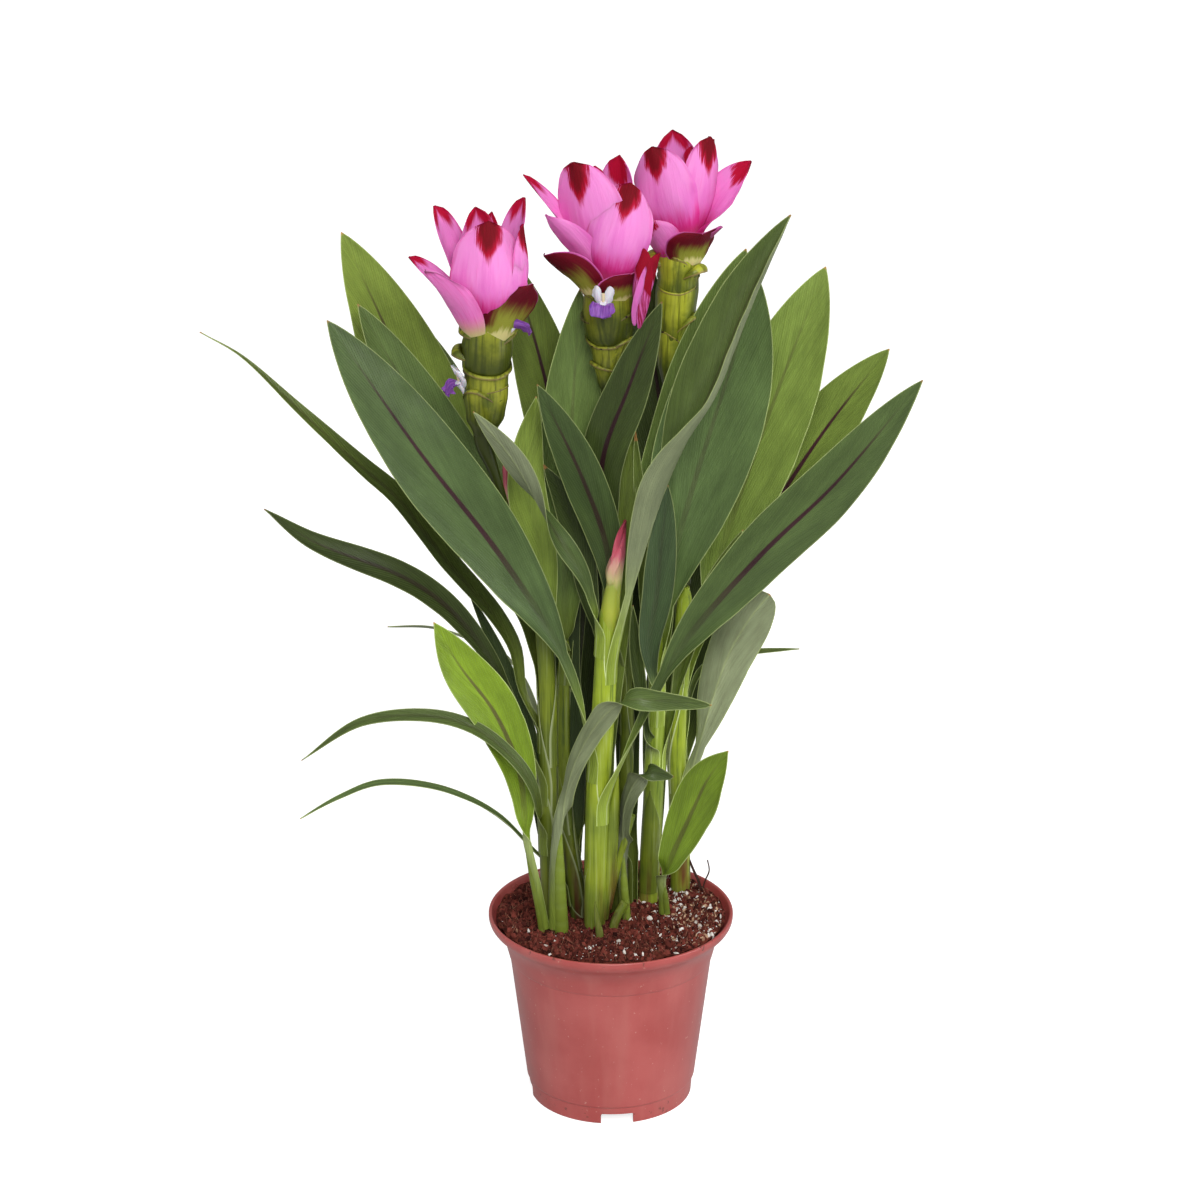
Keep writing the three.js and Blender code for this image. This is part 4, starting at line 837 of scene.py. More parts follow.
heads = {
    "head_left": {
        "stalk": [[-42, -13, 313.6, 2.8], [-56, -16, 356, 2.6], [-64, -19, 386, 3], [-69, -20, 402, 5]],
        "cone": [[-69, -20, 404], [-66, -20, 473]], "first": 170,
        "column": [[404, 6.4], [409, 8.2], [418, 11], [430, 12.4], [441, 12], [447, 13.2], [456, 14],
                   [465, 12.8], [478, 10.6]],
        "pouches": [
            [80, 410, 446, 2.2, 4, 1], [330, 404, 436, 1.3, 3, 0.3], [243, 404, 436, 0.95, 9, 1.3],
            [282, 414, 443.6, 1.9, -7, 1.1], [60, 436, 470, 2.1, 4, 1], [168, 436, 457, 0.8, 6, 3.8],
            [178, 450, 469, 1.0, 5, 2.6], [352, 448, 466, 0.8, 6, 1.6], [275, 426, 480, 1.9, -2, 0.3],
        ],
        "crown": [
            {"bearing": 218, "from": [11.2, -12], "belly": 21, "tip": [-32, -20, 32], "width": 33,
             "kind": 0.5},
            {"bearing": 308, "from": [11.2, -13], "belly": 17, "tip": [24, -14, 23], "width": 37,
             "kind": 1, "apex": 1.5},
            {"bearing": 168, "from": [8.4, -6], "belly": 23, "tip": [-42, 6, 32], "width": 22},
            {"bearing": 75, "from": [8.4, -7], "belly": 20, "tip": [8, 28, 29], "width": 29},
            {"bearing": 270, "from": [7, -6], "belly": 20, "tip": [1, -7, 55], "width": 46},
            {"bearing": 155, "from": [7, -6], "belly": 18, "tip": [-28, 10, 59], "width": 27},
            {"bearing": 350, "from": [5.6, -6], "belly": 20.5, "tip": [19, -5, 53], "width": 29},
            {"bearing": 30, "from": [5.6, -6], "belly": 14, "tip": [19, 12, 63], "width": 25},
            {"bearing": 115, "from": [5, -6], "belly": 12, "tip": [-6, 10, 58], "width": 27},
            {"bearing": 62, "from": [4, -6], "belly": 9, "tip": [2, 12, 55], "width": 18},
        ],
    },
    "head_middle": {
        "stalk": [
            [7, 6, 293.6, 2.6], [5.5, 9, 326, 2.2], [6.5, 8, 361, 2.2], [7, 7, 396, 2.4], [-1, 5, 420, 4],
        ],
        "cone": [[-2, 5, 421], [-1, 5, 489]], "first": 195,
        "column": [[421, 4.6], [430, 6.2], [444, 9], [450, 10.6], [457, 13], [468, 14.4], [480, 13.4],
                   [487, 11.4]],
        "pouches": [
            [200, 420, 441, 2, 5, 1], [255, 424, 452, 1.5, -6, 0.8], [335, 428, 456, 1.2, 7, 0.9],
            [110, 434, 468, 2.2, 4, 1.2], [20, 442, 474, 1.6, 8, 1.2], [205, 434, 481, 1.5, 9, 0.8],
            [300, 438, 486, 1.5, 5, 0.3], [80, 450, 486, 1.9, 5, 0.8],
        ],
        "crown": [
            {"bearing": 212, "from": [12, -12], "belly": 20, "tip": [-35, -12, 15], "width": 36,
             "kind": 1},
            {"bearing": 310, "from": [12, -13], "belly": 15, "tip": [11, -14, 5], "width": 36, "kind": 1,
             "apex": 0.4},
            {"bearing": 80, "from": [8.4, -7], "belly": 19, "tip": [6, 28, 24], "width": 29},
            {"bearing": 226, "from": [7.4, -6], "belly": 17, "tip": [-34, -14, 38], "width": 25,
             "kind": -1, "apex": 1.2},
            {"bearing": 265, "from": [7, -6], "belly": 17.5, "tip": [11.5, -8, 53.5], "width": 39},
            {"bearing": 238, "from": [6, -6], "belly": 13, "tip": [-19, -4, 64], "width": 46},
            {"bearing": 168, "from": [8, -6], "belly": 21, "tip": [-46, 4, 55], "width": 17},
            {"bearing": 52, "from": [6.4, -6], "belly": 15, "tip": [5, 14, 63], "width": 31, "kind": 0.12},
            {"bearing": 2, "from": [7, -6], "belly": 12, "tip": [11, 4, 44], "width": 25},
            {"bearing": 122, "from": [5, -6], "belly": 12, "tip": [-8, 14, 57], "width": 20},
        ],
    },
    "head_right": {
        "stalk": [[42, 30, 301.6, 3], [37, 30, 352, 2.8], [31, 30, 393, 2.8], [31, 30, 412, 3.6]],
        "cone": [[32, 30, 414], [38, 30, 504]], "first": 85,
        "column": [[414, 4], [424, 6], [432, 7.7], [445, 9], [453, 9.8], [461, 11.4], [472, 11.9],
                   [481, 11], [489, 12.2], [495, 11.8], [502, 11]],
        "pouches": [
            [100, 412, 448, 2.2, 5, 1], [230, 412, 452, 1.5, 12, 0.2], [335, 420, 462, 1.1, 12, 1.6],
            [262, 428, 475, 1.6, -5, 0.5], [90, 436, 484, 2.2, 4, 1], [176, 464, 496, 0.75, 7, 5],
            [325, 466, 491, 0.8, 9, 3.4], [232, 452, 497, 1.2, 8, 0.9], [285, 456, 503, 1.3, 4, 0.3],
        ],
        "crown": [
            {"bearing": 226, "from": [11, -13], "belly": 16, "tip": [-20, -13, 12], "width": 30,
             "kind": 0},
            {"bearing": 303, "from": [11, -15], "belly": 13, "tip": [11, -16, 6], "width": 35, "kind": 1,
             "apex": 0.32},
            {"bearing": 345, "from": [10, -11], "belly": 14, "tip": [22, -6, 7], "width": 12, "kind": 0.8},
            {"bearing": 75, "from": [8.4, -7], "belly": 19, "tip": [6, 27, 24], "width": 29},
            {"bearing": 245, "from": [7, -6], "belly": 17, "tip": [-16, -8, 52], "width": 42},
            {"bearing": 312, "from": [6, -6], "belly": 14, "tip": [15, -2, 56], "width": 31},
            {"bearing": 352, "from": [7.6, -6], "belly": 19, "tip": [37, -4, 43], "width": 25, "turn": 45,
             "apex": 0.9, "kind": 0.12},
            {"bearing": 100, "from": [6.4, -6], "belly": 15, "tip": [-5, 12, 56], "width": 32},
            {"bearing": 50, "from": [4.6, -6], "belly": 10, "tip": [5, 8, 48], "width": 16},
            {"bearing": 30, "from": [6, -6], "belly": 15, "tip": [17, 16, 50], "width": 25},
        ],
    },
}

bractLook = {"rows": 26, "columns": 18, "apex": 0.62, "fold": 0.035, "ripple": 0.06, "crease": 0.35,
             "middle": 0.7, "edge": 0.32}

petalLook = {"rows": 14, "columns": 10, "apex": 0.5, "fold": 0.08, "ripple": 0.3, "crease": 0.1,
             "middle": 0.35, "edge": 0.2}

pouchLook = {"rows": 16, "lipRows": 5, "columns": 36, "lipTurn": 1.7, "thickness": 0.6, "inset": 1.5,
             "waver": 0.6}

rolledBract = {"foot": [15.5, -6, 467], "parts": [
    {"bearing": 350, "from": [-3, -3], "belly": 5, "tip": [10, 2, 37], "width": 24, "cup": 1.7,
     "kind": 2.5, "root": 0.12},
    {"bearing": 236, "from": [1.5, -4], "belly": 4.5, "tip": [2, -3, 41], "width": 15, "cup": 1.4,
     "kind": 2, "root": 0.12},
]}

middleBud = {
    "spindle": [[-1.4, -14.2, 284, 4.4], [-0.8, -14.3, 299, 5.5], [0.2, -14.5, 310, 4.7],
                [1.8, -14.5, 320, 4], [4.6, -14.6, 337, 3.3], [7.6, -15.5, 356, 0.8]],
    "bracts": [
        {"foot": [0.5, -14.5, 313], "bearing": 215, "from": [2, 2], "belly": 4, "tip": [4.5, -3, 28],
         "width": 9},
        {"foot": [0.5, -14.5, 319], "bearing": 320, "from": [1.5, 4], "belly": 3.8, "tip": [7, -3, 37],
         "width": 8},
    ],
}

sideBud = [[-47, -4, 322, 1.6], [-52, 1, 345, 1.6], [-56, 4, 362, 2.6], [-57, 5, 378, 2.9],
           [-57, 5, 396, 0.5]]


def petalWidth(t, foot, apex):              # half-width along a petal: its foot, its widest and its tip
    if t < 0.58:
        return mix(foot, 1, math.sin(math.pi / 2 * (t / 0.58) ** 0.85))
    return max(1 - ((t - 0.58) / 0.42) ** 2.3, 0) ** apex


def addPetal(draft, points, inward, width, look, kind=0, cup=1.0, foot=0.5, seed=0, apex=None, turn=0):
    length, _ = evenRoute(points, 40)
    rows = []
    for row in range(look["rows"] + 1):
        t = row / look["rows"]
        along = routeDirection(points, t)
        normal = Quaternion(along, math.radians(turn) * smooth(0, 0.7, t)) @ across(inward, along)
        side = along.cross(normal)
        half = max(width / 2 * petalWidth(t, foot, apex or look["apex"]), 0.12)
        angle = cup * (1 - 0.35 * t)
        radius = half / angle
        centre = routePoint(points, t)
        cells = []
        for column in range(look["columns"] + 1):
            place = 2 * column / look["columns"] - 1
            phi = angle * place
            out = normal * math.cos(phi) - side * math.sin(phi)
            point = centre + normal * (radius * (1 - math.cos(phi))) + side * (radius * math.sin(phi))
            where = Vector((place * 1.6 + seed * 3.7, t * 1.7, seed * 1.3))
            lift = look["fold"] * width * noise.noise(where) * smooth(0, 0.4, t)
            ripple = look["ripple"] * width * noise.noise(where * 3.1)
            lift += ripple * abs(place) ** 3 * smooth(0.1, 0.6, t)
            lift -= look["crease"] * math.exp(-(place * half / 1.4) ** 2) * smooth(0, 0.2, t)
            point = point + out * lift
            thickness = mix(look["middle"], look["edge"], place ** 2)
            cells.append((point + out * (thickness / 2), point - out * (thickness / 2),
                          (place, t, t * length, half), kind))
        rows.append(cells)
    addShell(draft, rows)


def addBract(draft, base, bract, seed):
    outward = bearingVector(bract["bearing"])
    sideways = Vector((-outward.y, outward.x, 0))
    tip, start = Vector(bract["tip"]), bract["from"]
    lean = sideways.dot(tip) * 0.4
    belly = base + outward * bract["belly"] + sideways * lean + up * mix(start[1], tip.z, 0.46)
    points = [base + outward * start[0] + up * start[1], belly, base + tip]
    addPetal(draft, points, up * 0.001 - outward, bract["width"], bractLook, bract.get("kind", 0),
             bract.get("cup", 1), foot=bract.get("root", 0.5), seed=seed, apex=bract.get("apex"),
             turn=bract.get("turn", 0))


def addPouch(draft, head, pouch, seed):     # a green bract that clasps the cone, with its lip turned out
    look = pouchLook
    low, high = [Vector(p) for p in head["cone"]]
    bearing, foot, rim, wrap, drop, flare = pouch
    count = look["rows"] + look["lipRows"]
    rows = []
    for row in range(count + 1):
        rise = min(row / look["rows"], 1)
        turn = max(row - look["rows"], 0) / look["lipRows"] * look["lipTurn"]
        cells = []
        for column in range(look["columns"] + 1):
            place = 2 * column / look["columns"] - 1
            direction = bearingVector(bearing + math.degrees(wrap * place))
            waver = noise.noise(Vector((place * 2.6, rise * 1.5, seed * 2.7))) * look["waver"] * rise
            lip = flare * (1 - place ** 2)
            z = mix(foot, rim - drop * place ** 2, rise)
            axis = low.lerp(high, (z - low.z) / (high.z - low.z))
            inset = look["inset"] * (1 - smooth(0, 0.5, rise)) * 1.3
            radius = between(head["column"], z) - inset - 1.3 * place ** 6
            radius += 0.5 * flare * smooth(0.7, 1, rise) * (1 - place ** 2) + lip * math.sin(turn) + waver
            z += waver * 1.5 - lip * (1 - math.cos(turn))
            outer, inner = [Vector((axis.x, axis.y, z - depth * math.sin(turn)))
                            + direction * (radius - depth * math.cos(turn))
                            for depth in (0, look["thickness"])]
            cells.append((outer, inner, (place, row / count, z, radius * wrap), seed))
        rows.append(cells)
    addShell(draft, rows, flags=(0, 1))


def spikeDraft(head):
    low, high = [Vector(p) for p in head["cone"]]
    draft = newDraft()
    axis = [*head["stalk"]]
    for z, radius in head["column"][1:]:
        place = low.lerp(high, (z - low.z) / (high.z - low.z))
        axis.append([place.x, place.y, min(z, high.z - 12 + 0.2 * len(axis)), radius - 2])
    addBar(draft, axis, 60, 24, kind=-1)
    for seed, pouch in enumerate(head["pouches"]):
        addPouch(draft, head, pouch, seed)
    return draft


def crownDraft(head):
    foot = Vector(head["cone"][1])
    draft = newDraft()
    cup = [[foot.x, foot.y, foot.z + z, r] for z, r in ((-15, 8), (-9, 9.6), (-3.6, 8.4))]
    addBar(draft, cup, 6, 24, kind=1)
    for k, bract in enumerate(head["crown"]):
        addBract(draft, foot, bract, k + head["first"])
    return draft


# Flowers

flowers = {
    "flower_left_outer": {"at": [-79, -22, 435], "bearing": 196, "size": 1.35, "petals": ["wing", "lip"]},
    "flower_left_inner": {"at": [-55, -26, 467.5], "bearing": 338, "size": 0.95, "petals": ["tongue"]},
    "flower_middle": {"at": [-4, -11.5, 477], "bearing": 262, "size": 1.28, "petals": ["hood", "lip"]},
}

flowerLook = {
    "bars": [([[-1, 0, -4, 1.2], [1, 0, 0, 1.5], [3, 0, 2, 1.4]], 0),
             ([[1.5, 0, 0, 0.8], [3, 0, 6, 0.7]], 0.5)],
    "hood": {"pair": True, "route": [[1.5, 1, 0], [2.4, 2.8, 4.5], [2.5, 2.8, 9.3]],
             "inward": [-1, -0.4, 0], "width": 4.8, "kind": 0, "cup": 1.1, "foot": 0.5, "apex": 0.6},
    "wing": {"pair": True, "route": [[1, 1, 0], [2.4, 3.4, 4], [4.4, 4, 8]], "inward": [-1, -0.4, 0.4],
             "width": 5, "kind": 0.25, "cup": 0.9, "foot": 0.5, "apex": 0.5},
    "lip": {"pair": False, "route": [[2, 0, 1], [5, 0, 0.6], [7.4, 0, -3.4]], "inward": [0.3, 0, 1],
            "width": 11, "kind": 1, "cup": 0.6, "foot": 0.3, "apex": 0.25},
    "tongue": {"pair": False, "route": [[-2, 0, -1], [4, 0, 3], [9, 0, 2.4], [14, 0, 0.4]],
               "inward": [0, 1, 0.8], "width": 10, "kind": 1, "cup": 0.8, "foot": 0.35, "apex": 0.4},
}


def addFlower(draft, flower):
    outward = bearingVector(flower["bearing"])
    side = Vector((-outward.y, outward.x, 0))
    at, size = Vector(flower["at"]), flower["size"]

    def place(out, aside, rise):
        return at + (outward * out + side * aside + up * rise) * size
    for stations, kind in flowerLook["bars"]:
        addBar(draft, [[*place(*s[:3]), s[3] * size] for s in stations], 8, 10, kind)
    for k, name in enumerate(flower["petals"]):
        petal = flowerLook[name]
        for mirror in (1, -1) if petal["pair"] else (1,):
            points = [place(out, aside * mirror, rise) for out, aside, rise in petal["route"]]
            out, aside, rise = petal["inward"]
            inward = outward * out + side * aside * mirror + up * rise
            addPetal(draft, points, inward, petal["width"] * size, petalLook, petal["kind"],
                     petal["cup"], petal["foot"], seed=k + mirror + flower["bearing"], apex=petal["apex"])
    return draft


# Pot

potLook = {
    "sides": 144, "foot": 46.8, "floor": 6, "drains": 6, "drainRing": 31, "drainRadius": 4.5,
    "notches": 4, "notchWidth": 18.5, "notchHeight": 6.3, "notchBearing": 274.5,
    "profile": [
        [0, 0, 0], [16, 0, 0.5], [17.5, 6, 0.5], [43.8, 6, 0.6], [44.6, 0, 0.4], [46.8, 0, 0.5],
        [47.5, 10.2, 0.5], [48.6, 11.3, 0.5], [57.9, 86.7, 0.2], [58.5, 87.5, 0.3], [60.9, 97, 3],
        [64.2, 103, 3], [69.2, 107.6, 1.6], [70, 110, 0.8], [70, 113, 0.9], [68.2, 112.8, 0.7],
        [66.8, 108.6, 1], [62.4, 103.8, 2], [59.3, 97.5, 2], [57, 87, 1], [44.6, 7.5, 1],
        [17.5, 7.5, 0.4], [16, 1.5, 0.4], [0, 1.5, 0],
    ],
}


def roundedProfile(corners, steps=4):       # corners as [radius, height, rounding]
    profile = []
    count = len(corners)
    for k, (r, z, rounding) in enumerate(corners):
        corner = Vector((r, z))
        before, after = [Vector(corners[(k + s) % count][:2]) for s in (-1, 1)]
        if not rounding:
            profile.append(corner)
            continue
        a = corner + (before - corner).normalized() * rounding
        b = corner + (after - corner).normalized() * rounding
        profile += [a.lerp(corner, t).lerp(corner.lerp(b, t), t)
                    for t in [s / steps for s in range(steps + 1)]]
    return profile


def potMesh():
    look = potLook
    profile = roundedProfile(look["profile"])
    angles = [k / look["sides"] * 2 * math.pi for k in range(look["sides"])]
    model = bmesh.new()
    rings = []
    for point in profile:
        if point.x < 1e-6:
            rings.append([model.verts.new((0, 0, point.y * mm))] * look["sides"])
            continue
        radius, height = point.x * mm, point.y * mm
        rings.append([model.verts.new((radius * math.cos(a), radius * math.sin(a), height))
                      for a in angles])
    for k in range(len(rings) - 1):
        for side in range(look["sides"]):
            after = (side + 1) % look["sides"]
            corners = [rings[k][side], rings[k][after], rings[k + 1][after], rings[k + 1][side]]
            model.faces.new(list(dict.fromkeys(corners)))
    pot = objectFrom(model, "pot_body")
    cutters = [makeNotch(k) for k in range(look["notches"])]
    cutters += [makeDrain(k) for k in range(look["drains"])]
    for cutter in cutters:
        cut = pot.modifiers.new("cut", "BOOLEAN")
        cut.operation, cut.solver, cut.object = "DIFFERENCE", "EXACT", cutter
    bevel = pot.modifiers.new("bevel", "BEVEL")
    bevel.width, bevel.segments, bevel.angle_limit = 0.35 * mm, 2, math.radians(60)
    shaped = shapedMesh(pot)
    for extra in [pot, *cutters]:
        bpy.data.objects.remove(extra)
    return shaped


def objectFrom(model, name):
    bmesh.ops.recalc_face_normals(model, faces=model.faces)
    mesh = bpy.data.meshes.new(name)
    model.to_mesh(mesh)
    model.free()
    return addObject(name, mesh)


def makeNotch(k):                           # a slot in the foot ring, with its upper corners rounded
    look = potLook
    width, height = look["notchWidth"] / 2, look["notchHeight"]
    outline = [(-width, -3), (width, -3)]
    for centre, start in ((width - 1, 0), (1 - width, 90)):
        for step in range(5):
            angle = math.radians(start + step * 22.5)
            outline.append((centre + math.cos(angle), height - 1 + math.sin(angle)))
    direction = bearingVector(look["notchBearing"] + k * 360 / look["notches"])
    aside = Vector((-direction.y, direction.x, 0))
    model = bmesh.new()
    ends = []
    for reach in (look["foot"] - 6, look["foot"] + 4):
        ends.append([model.verts.new((direction * reach + aside * x + up * z) * mm) for x, z in outline])
    model.faces.new(ends[0])
    model.faces.new(ends[1])
    for a in range(len(outline)):
        b = (a + 1) % len(outline)
        model.faces.new([ends[0][a], ends[0][b], ends[1][b], ends[1][a]])
    return objectFrom(model, "notch")


def makeDrain(k):                           # a drain hole through the floor
    look = potLook
    centre = bearingVector((k + 0.5) * 360 / look["drains"]) * look["drainRing"]
    model = bmesh.new()
    bmesh.ops.create_cone(model, cap_ends=True, segments=24, radius1=look["drainRadius"] * mm,
                          radius2=look["drainRadius"] * mm, depth=12 * mm)
    bmesh.ops.translate(model, verts=model.verts, vec=(centre + up * look["floor"]) * mm)
    return objectFrom(model, "drain")


# Soil

soilLook = {"height": 109.5, "rim": 65.6, "sides": 180, "topRings": 60,
            "wallRings": [[44.1, 7.8], [56.4, 87], [58.7, 97.7], [61.8, 104.2]]}

spears = {
    "spear_front": [[-6, -29, 98, 2], [-6.5, -29, 112, 2.2], [-8, -29, 122, 1.6], [-9, -29, 132, 0.4]],
    "spear_back": [[13, 19, 98, 2.4], [13, 19, 112, 2.6], [12, 17, 130, 1.9], [10.5, 15, 141, 0.4]],
    "stub_cut": [[1.5, -18.5, 98, 2.4], [1.5, -18.5, 111, 2.5], [4, -17, 118, 2.5], [8, -15, 125, 2.6]],
}

slimShoots = {
    "shoot_slim": [[-4.5, -12, 113.6, 3], [-2.2, -12, 137.4, 4.3], [0, -12, 162.4, 4],
                   [2.2, -13, 187.6, 2.6], [3.9, -14, 207.7, 0.4]],
    "shoot_slim_cut": [[-1.6, -9, 118.4, 2], [1.8, -9, 136, 2.2], [7.4, -10, 160.2, 2.1],
                       [11.9, -11, 177.4, 1.9]],
}

rhizome = [[-32, -8, 72, 8], [-15, -5, 72, 8.4], [1, -3, 72, 8], [18, 12, 72, 8.4], [33, 27, 72, 8]]

twigs = {
    "twig_dark": [[53, 30, 108, 0.8], [51, 31, 116, 0.8], [47.5, 32, 124, 0.7], [44, 34, 133, 0.5]],
    "root_red": [[53, 30, 111, 0.45], [55, 30, 118, 0.45], [57, 31, 123, 0.4], [56, 31, 130, 0.35]],
}


def soilTop(x, y):
    mound = 5 * math.exp(-((x - 14) ** 2 + (y - 4) ** 2) / 180)
    lumps = 0.9 * math.sin(x * 0.31 + 1) * math.cos(y * 0.27) + 0.6 * math.sin(x * 0.13 - y * 0.41)
    edge = 1.3 * smooth(42, 63, math.hypot(x, y))
    return soilLook["height"] - y * 0.012 + mound + lumps + edge


def soilDraft():
    look = soilLook
    angles = [k / look["sides"] * 2 * math.pi for k in range(look["sides"])]
    rings, values = [], []
    for radius, height in look["wallRings"]:
        rings.append([Vector((radius * math.cos(a), radius * math.sin(a), height)) for a in angles])
        values.append((0, 0, 0, radius, 0, 0))
    for k in range(look["topRings"]):
        radius = mix(look["rim"], 1.2, k / (look["topRings"] - 1))
        ring = []
        for a in angles:
            x, y = radius * math.cos(a), radius * math.sin(a)
            place = Vector((x, y, 0))
            grain = 1.5 * noise.noise(place * 0.11) + 1.1 * noise.noise(place * 0.33)
            grain += 0.5 * noise.noise(place)
            settle = smooth(look["rim"], look["rim"] - 5, radius)
            ring.append(Vector((x, y, soilTop(x, y) + grain * settle - 0.6 * (1 - settle))))
        rings.append(ring)
        values.append((0, 1, 0, radius, 1, 0))
    draft = newDraft()
    addTube(draft, rings, values)
    return draft


# Loose bits on a surface, such as crumbs, perlite and fibres, as one Geometry Nodes tree


def makeScatterTree():
    tree, given, result = startGroup("looseBits", "GeometryNodeTree", {
        "Geometry": "Geometry", "Bits per square metre": "Float", "Smallest": "Vector",
        "Largest": "Vector", "Roughness": "Float", "Bend": "Float", "Long": "Bool",
        "Subdivisions": "Int", "Seed": "Int", "Finish": "Material",
    }, {"Geometry": "Geometry"})
    density = addNode("GeometryNodeInputNamedAttribute", {"Name": "chance"}, data_type="FLOAT")
    density *= given["Bits per square metre"]
    spread = addNode("GeometryNodeDistributePointsOnFaces",
                     {"Mesh": given["Geometry"], "Density": density, "Seed": given["Seed"]})
    lump = addNode("GeometryNodeMeshIcoSphere", {"Radius": 1, "Subdivisions": given["Subdivisions"]})
    rough = addNode("ShaderNodeTexNoise", {"Scale": 1.3, "Detail": 1}, 1)
    shifted = addNode("ShaderNodeVectorMath", {0: rough, 1: (0.5, 0.5, 0.5)}, operation="SUBTRACT")
    scaled = addNode("ShaderNodeVectorMath", {0: shifted, 3: given["Roughness"]}, operation="SCALE")
    lump = addNode("GeometryNodeSetPosition", {"Geometry": lump, "Offset": scaled})
    line = addNode("GeometryNodeCurveQuadraticBezier", {
        "Resolution": 6, "Start": (-1, 0, 0), "End": (1, 0, 0), "Middle": combine(0, 0, given["Bend"])})
    section = addNode("GeometryNodeCurvePrimitiveCircle", {"Resolution": 4, "Radius": 1})
    fibre = addNode("GeometryNodeCurveToMesh",
                    {"Curve": line, "Profile Curve": section, "Fill Caps": True})
    bit = addNode("GeometryNodeSwitch", {"Switch": given["Long"], "False": lump, "True": fibre},
                  input_type="GEOMETRY")
    turn = addNode("FunctionNodeRandomValue",
                   {"Min": (0, 0, 0), "Max": (6.28, 6.28, 6.28), "Seed": given["Seed"]},
                   data_type="FLOAT_VECTOR")
    size = addNode("FunctionNodeRandomValue",
                   {"Min": given["Smallest"], "Max": given["Largest"], "Seed": 7},
                   data_type="FLOAT_VECTOR")
    placed = addNode("GeometryNodeInstanceOnPoints",
                     {"Points": spread, "Instance": bit, "Rotation": turn, "Scale": size})
    shade = addNode("FunctionNodeRandomValue", {"Seed": 3}, 1, data_type="FLOAT")
    stored = addNode("GeometryNodeStoreNamedAttribute",
                     {"Geometry": placed, "Name": "shade", "Value": shade},
                     data_type="FLOAT", domain="INSTANCE")
    real = addNode("GeometryNodeRealizeInstances", {"Geometry": stored})
    finished = addNode("GeometryNodeSetMaterial", {"Geometry": real, "Material": given["Finish"]})
    wireInto(result[0], finished)
    return tree


# Finishes


leafColours = {"deep": (0.050, 0.078, 0.015), "cool": (0.064, 0.112, 0.040),
               "backlit": (0.21, 0.29, 0.042), "youngBacklit": (0.16, 0.25, 0.010),
               "under": (0.21, 0.24, 0.145), "underBacklit": (0.24, 0.30, 0.09),
               "stalk": (0.16, 0.215, 0.024), "stalkFades": (0.05, 0.3), "vein": (0.20, 0.26, 0.08),
               "stripe": (0.045, 0.014, 0.018), "rib": (0.30, 0.35, 0.16),
               "margin": (0.40, 0.48, 0.18), "dry": (0.42, 0.22, 0.07)}


def makeLeafSkin():
    c = leafColours
    material = startMaterial("leafSkin", 0.42, Specular_IOR_Level=0.28)
    across, half, along = readValue("across"), readValue("half"), readValue("along")
    share, face, bright = readValue("share"), readValue("upper"), readValue("bright")
    cool, footLight = readValue("cool"), readValue("footLight")
    aside = abs(across) * half
    top = blendColours(mapRange(cool, 0, 1, kind="LINEAR"), c["deep"], c["cool"])
    # painted light coming through the leaf: bright moves both sides towards their backlit colours
    lit = blendColours(mapRange(cool, -0.2, -0.8), c["backlit"], c["youngBacklit"])
    top = blendColours(bright, top, lit)
    under = blendColours(bright, c["under"], c["underBacklit"])
    skin = blendColours(face, under, top)
    foot = mapRange(readValue("kind"), *c["stalkFades"])
    skin = blendColours(foot, c["stalk"], skin)
    veined = addNode("ShaderNodeGroup", {
        "colour": skin, "veinColour": blendColours(0.5, skin, c["vein"]), "spacing": 1.25, "slant": 0.16,
        "mottle": 0.6, "strength": 0.28}, node_tree=veinedSkin).socket.node.outputs
    colour = veined["colour"]
    stripeHalf = mapRange(share, 0, 0.95, 2.1, 0.3, "LINEAR")
    stripe = mapRange(aside - stripeHalf, 0.45, -0.35)
    stripe *= mapRange(share, 0.97, 0.7)
    stripe *= mapRange(share, 0.04, 0.4, 0.1, 1)
    stripe = stripe * face * readValue("stripe")
    colour = blendColours(stripe, colour, c["stripe"])
    midrib = mapRange(aside, 0.75, 0.3)
    pale = midrib * (1 - face) * 0.5
    colour = blendColours(pale, colour, c["rib"])
    rim = mapRange(half - aside, 0.55, 0.2)
    colour = blendColours(rim * 0.75, colour, c["margin"])
    dry = mapRange(share + readValue("dry"), 0.99, 1)
    colour = blendColours(dry, colour, c["dry"])
    mottle = makeNoise(1, detail=4, roughness=0.6,
                       vector=(across * 1.6, along * 0.022, readValue("light")))
    # painted light and shade: the leaf's light value, running into its stem's at the foot
    light = (readValue("light") - footLight) * foot + footLight
    colour = lighten(colour, light * mapRange(mottle, 0.3, 0.7, 0.78, 1.2, "LINEAR"))
    rough = makeNoise(900, detail=2) * 0.1 + 0.34 + (1 - face) * 0.12
    return finishMaterial(material, colour, veined["height"], 0.25, rough=rough)


stemColours = {"green": (0.12, 0.165, 0.018), "yellow": (0.23, 0.29, 0.018), "pale": (0.30, 0.36, 0.11),
               "deep": (0.04, 0.07, 0.010), "flush": (0.11, 0.028, 0.016), "margin": (0.46, 0.52, 0.28)}


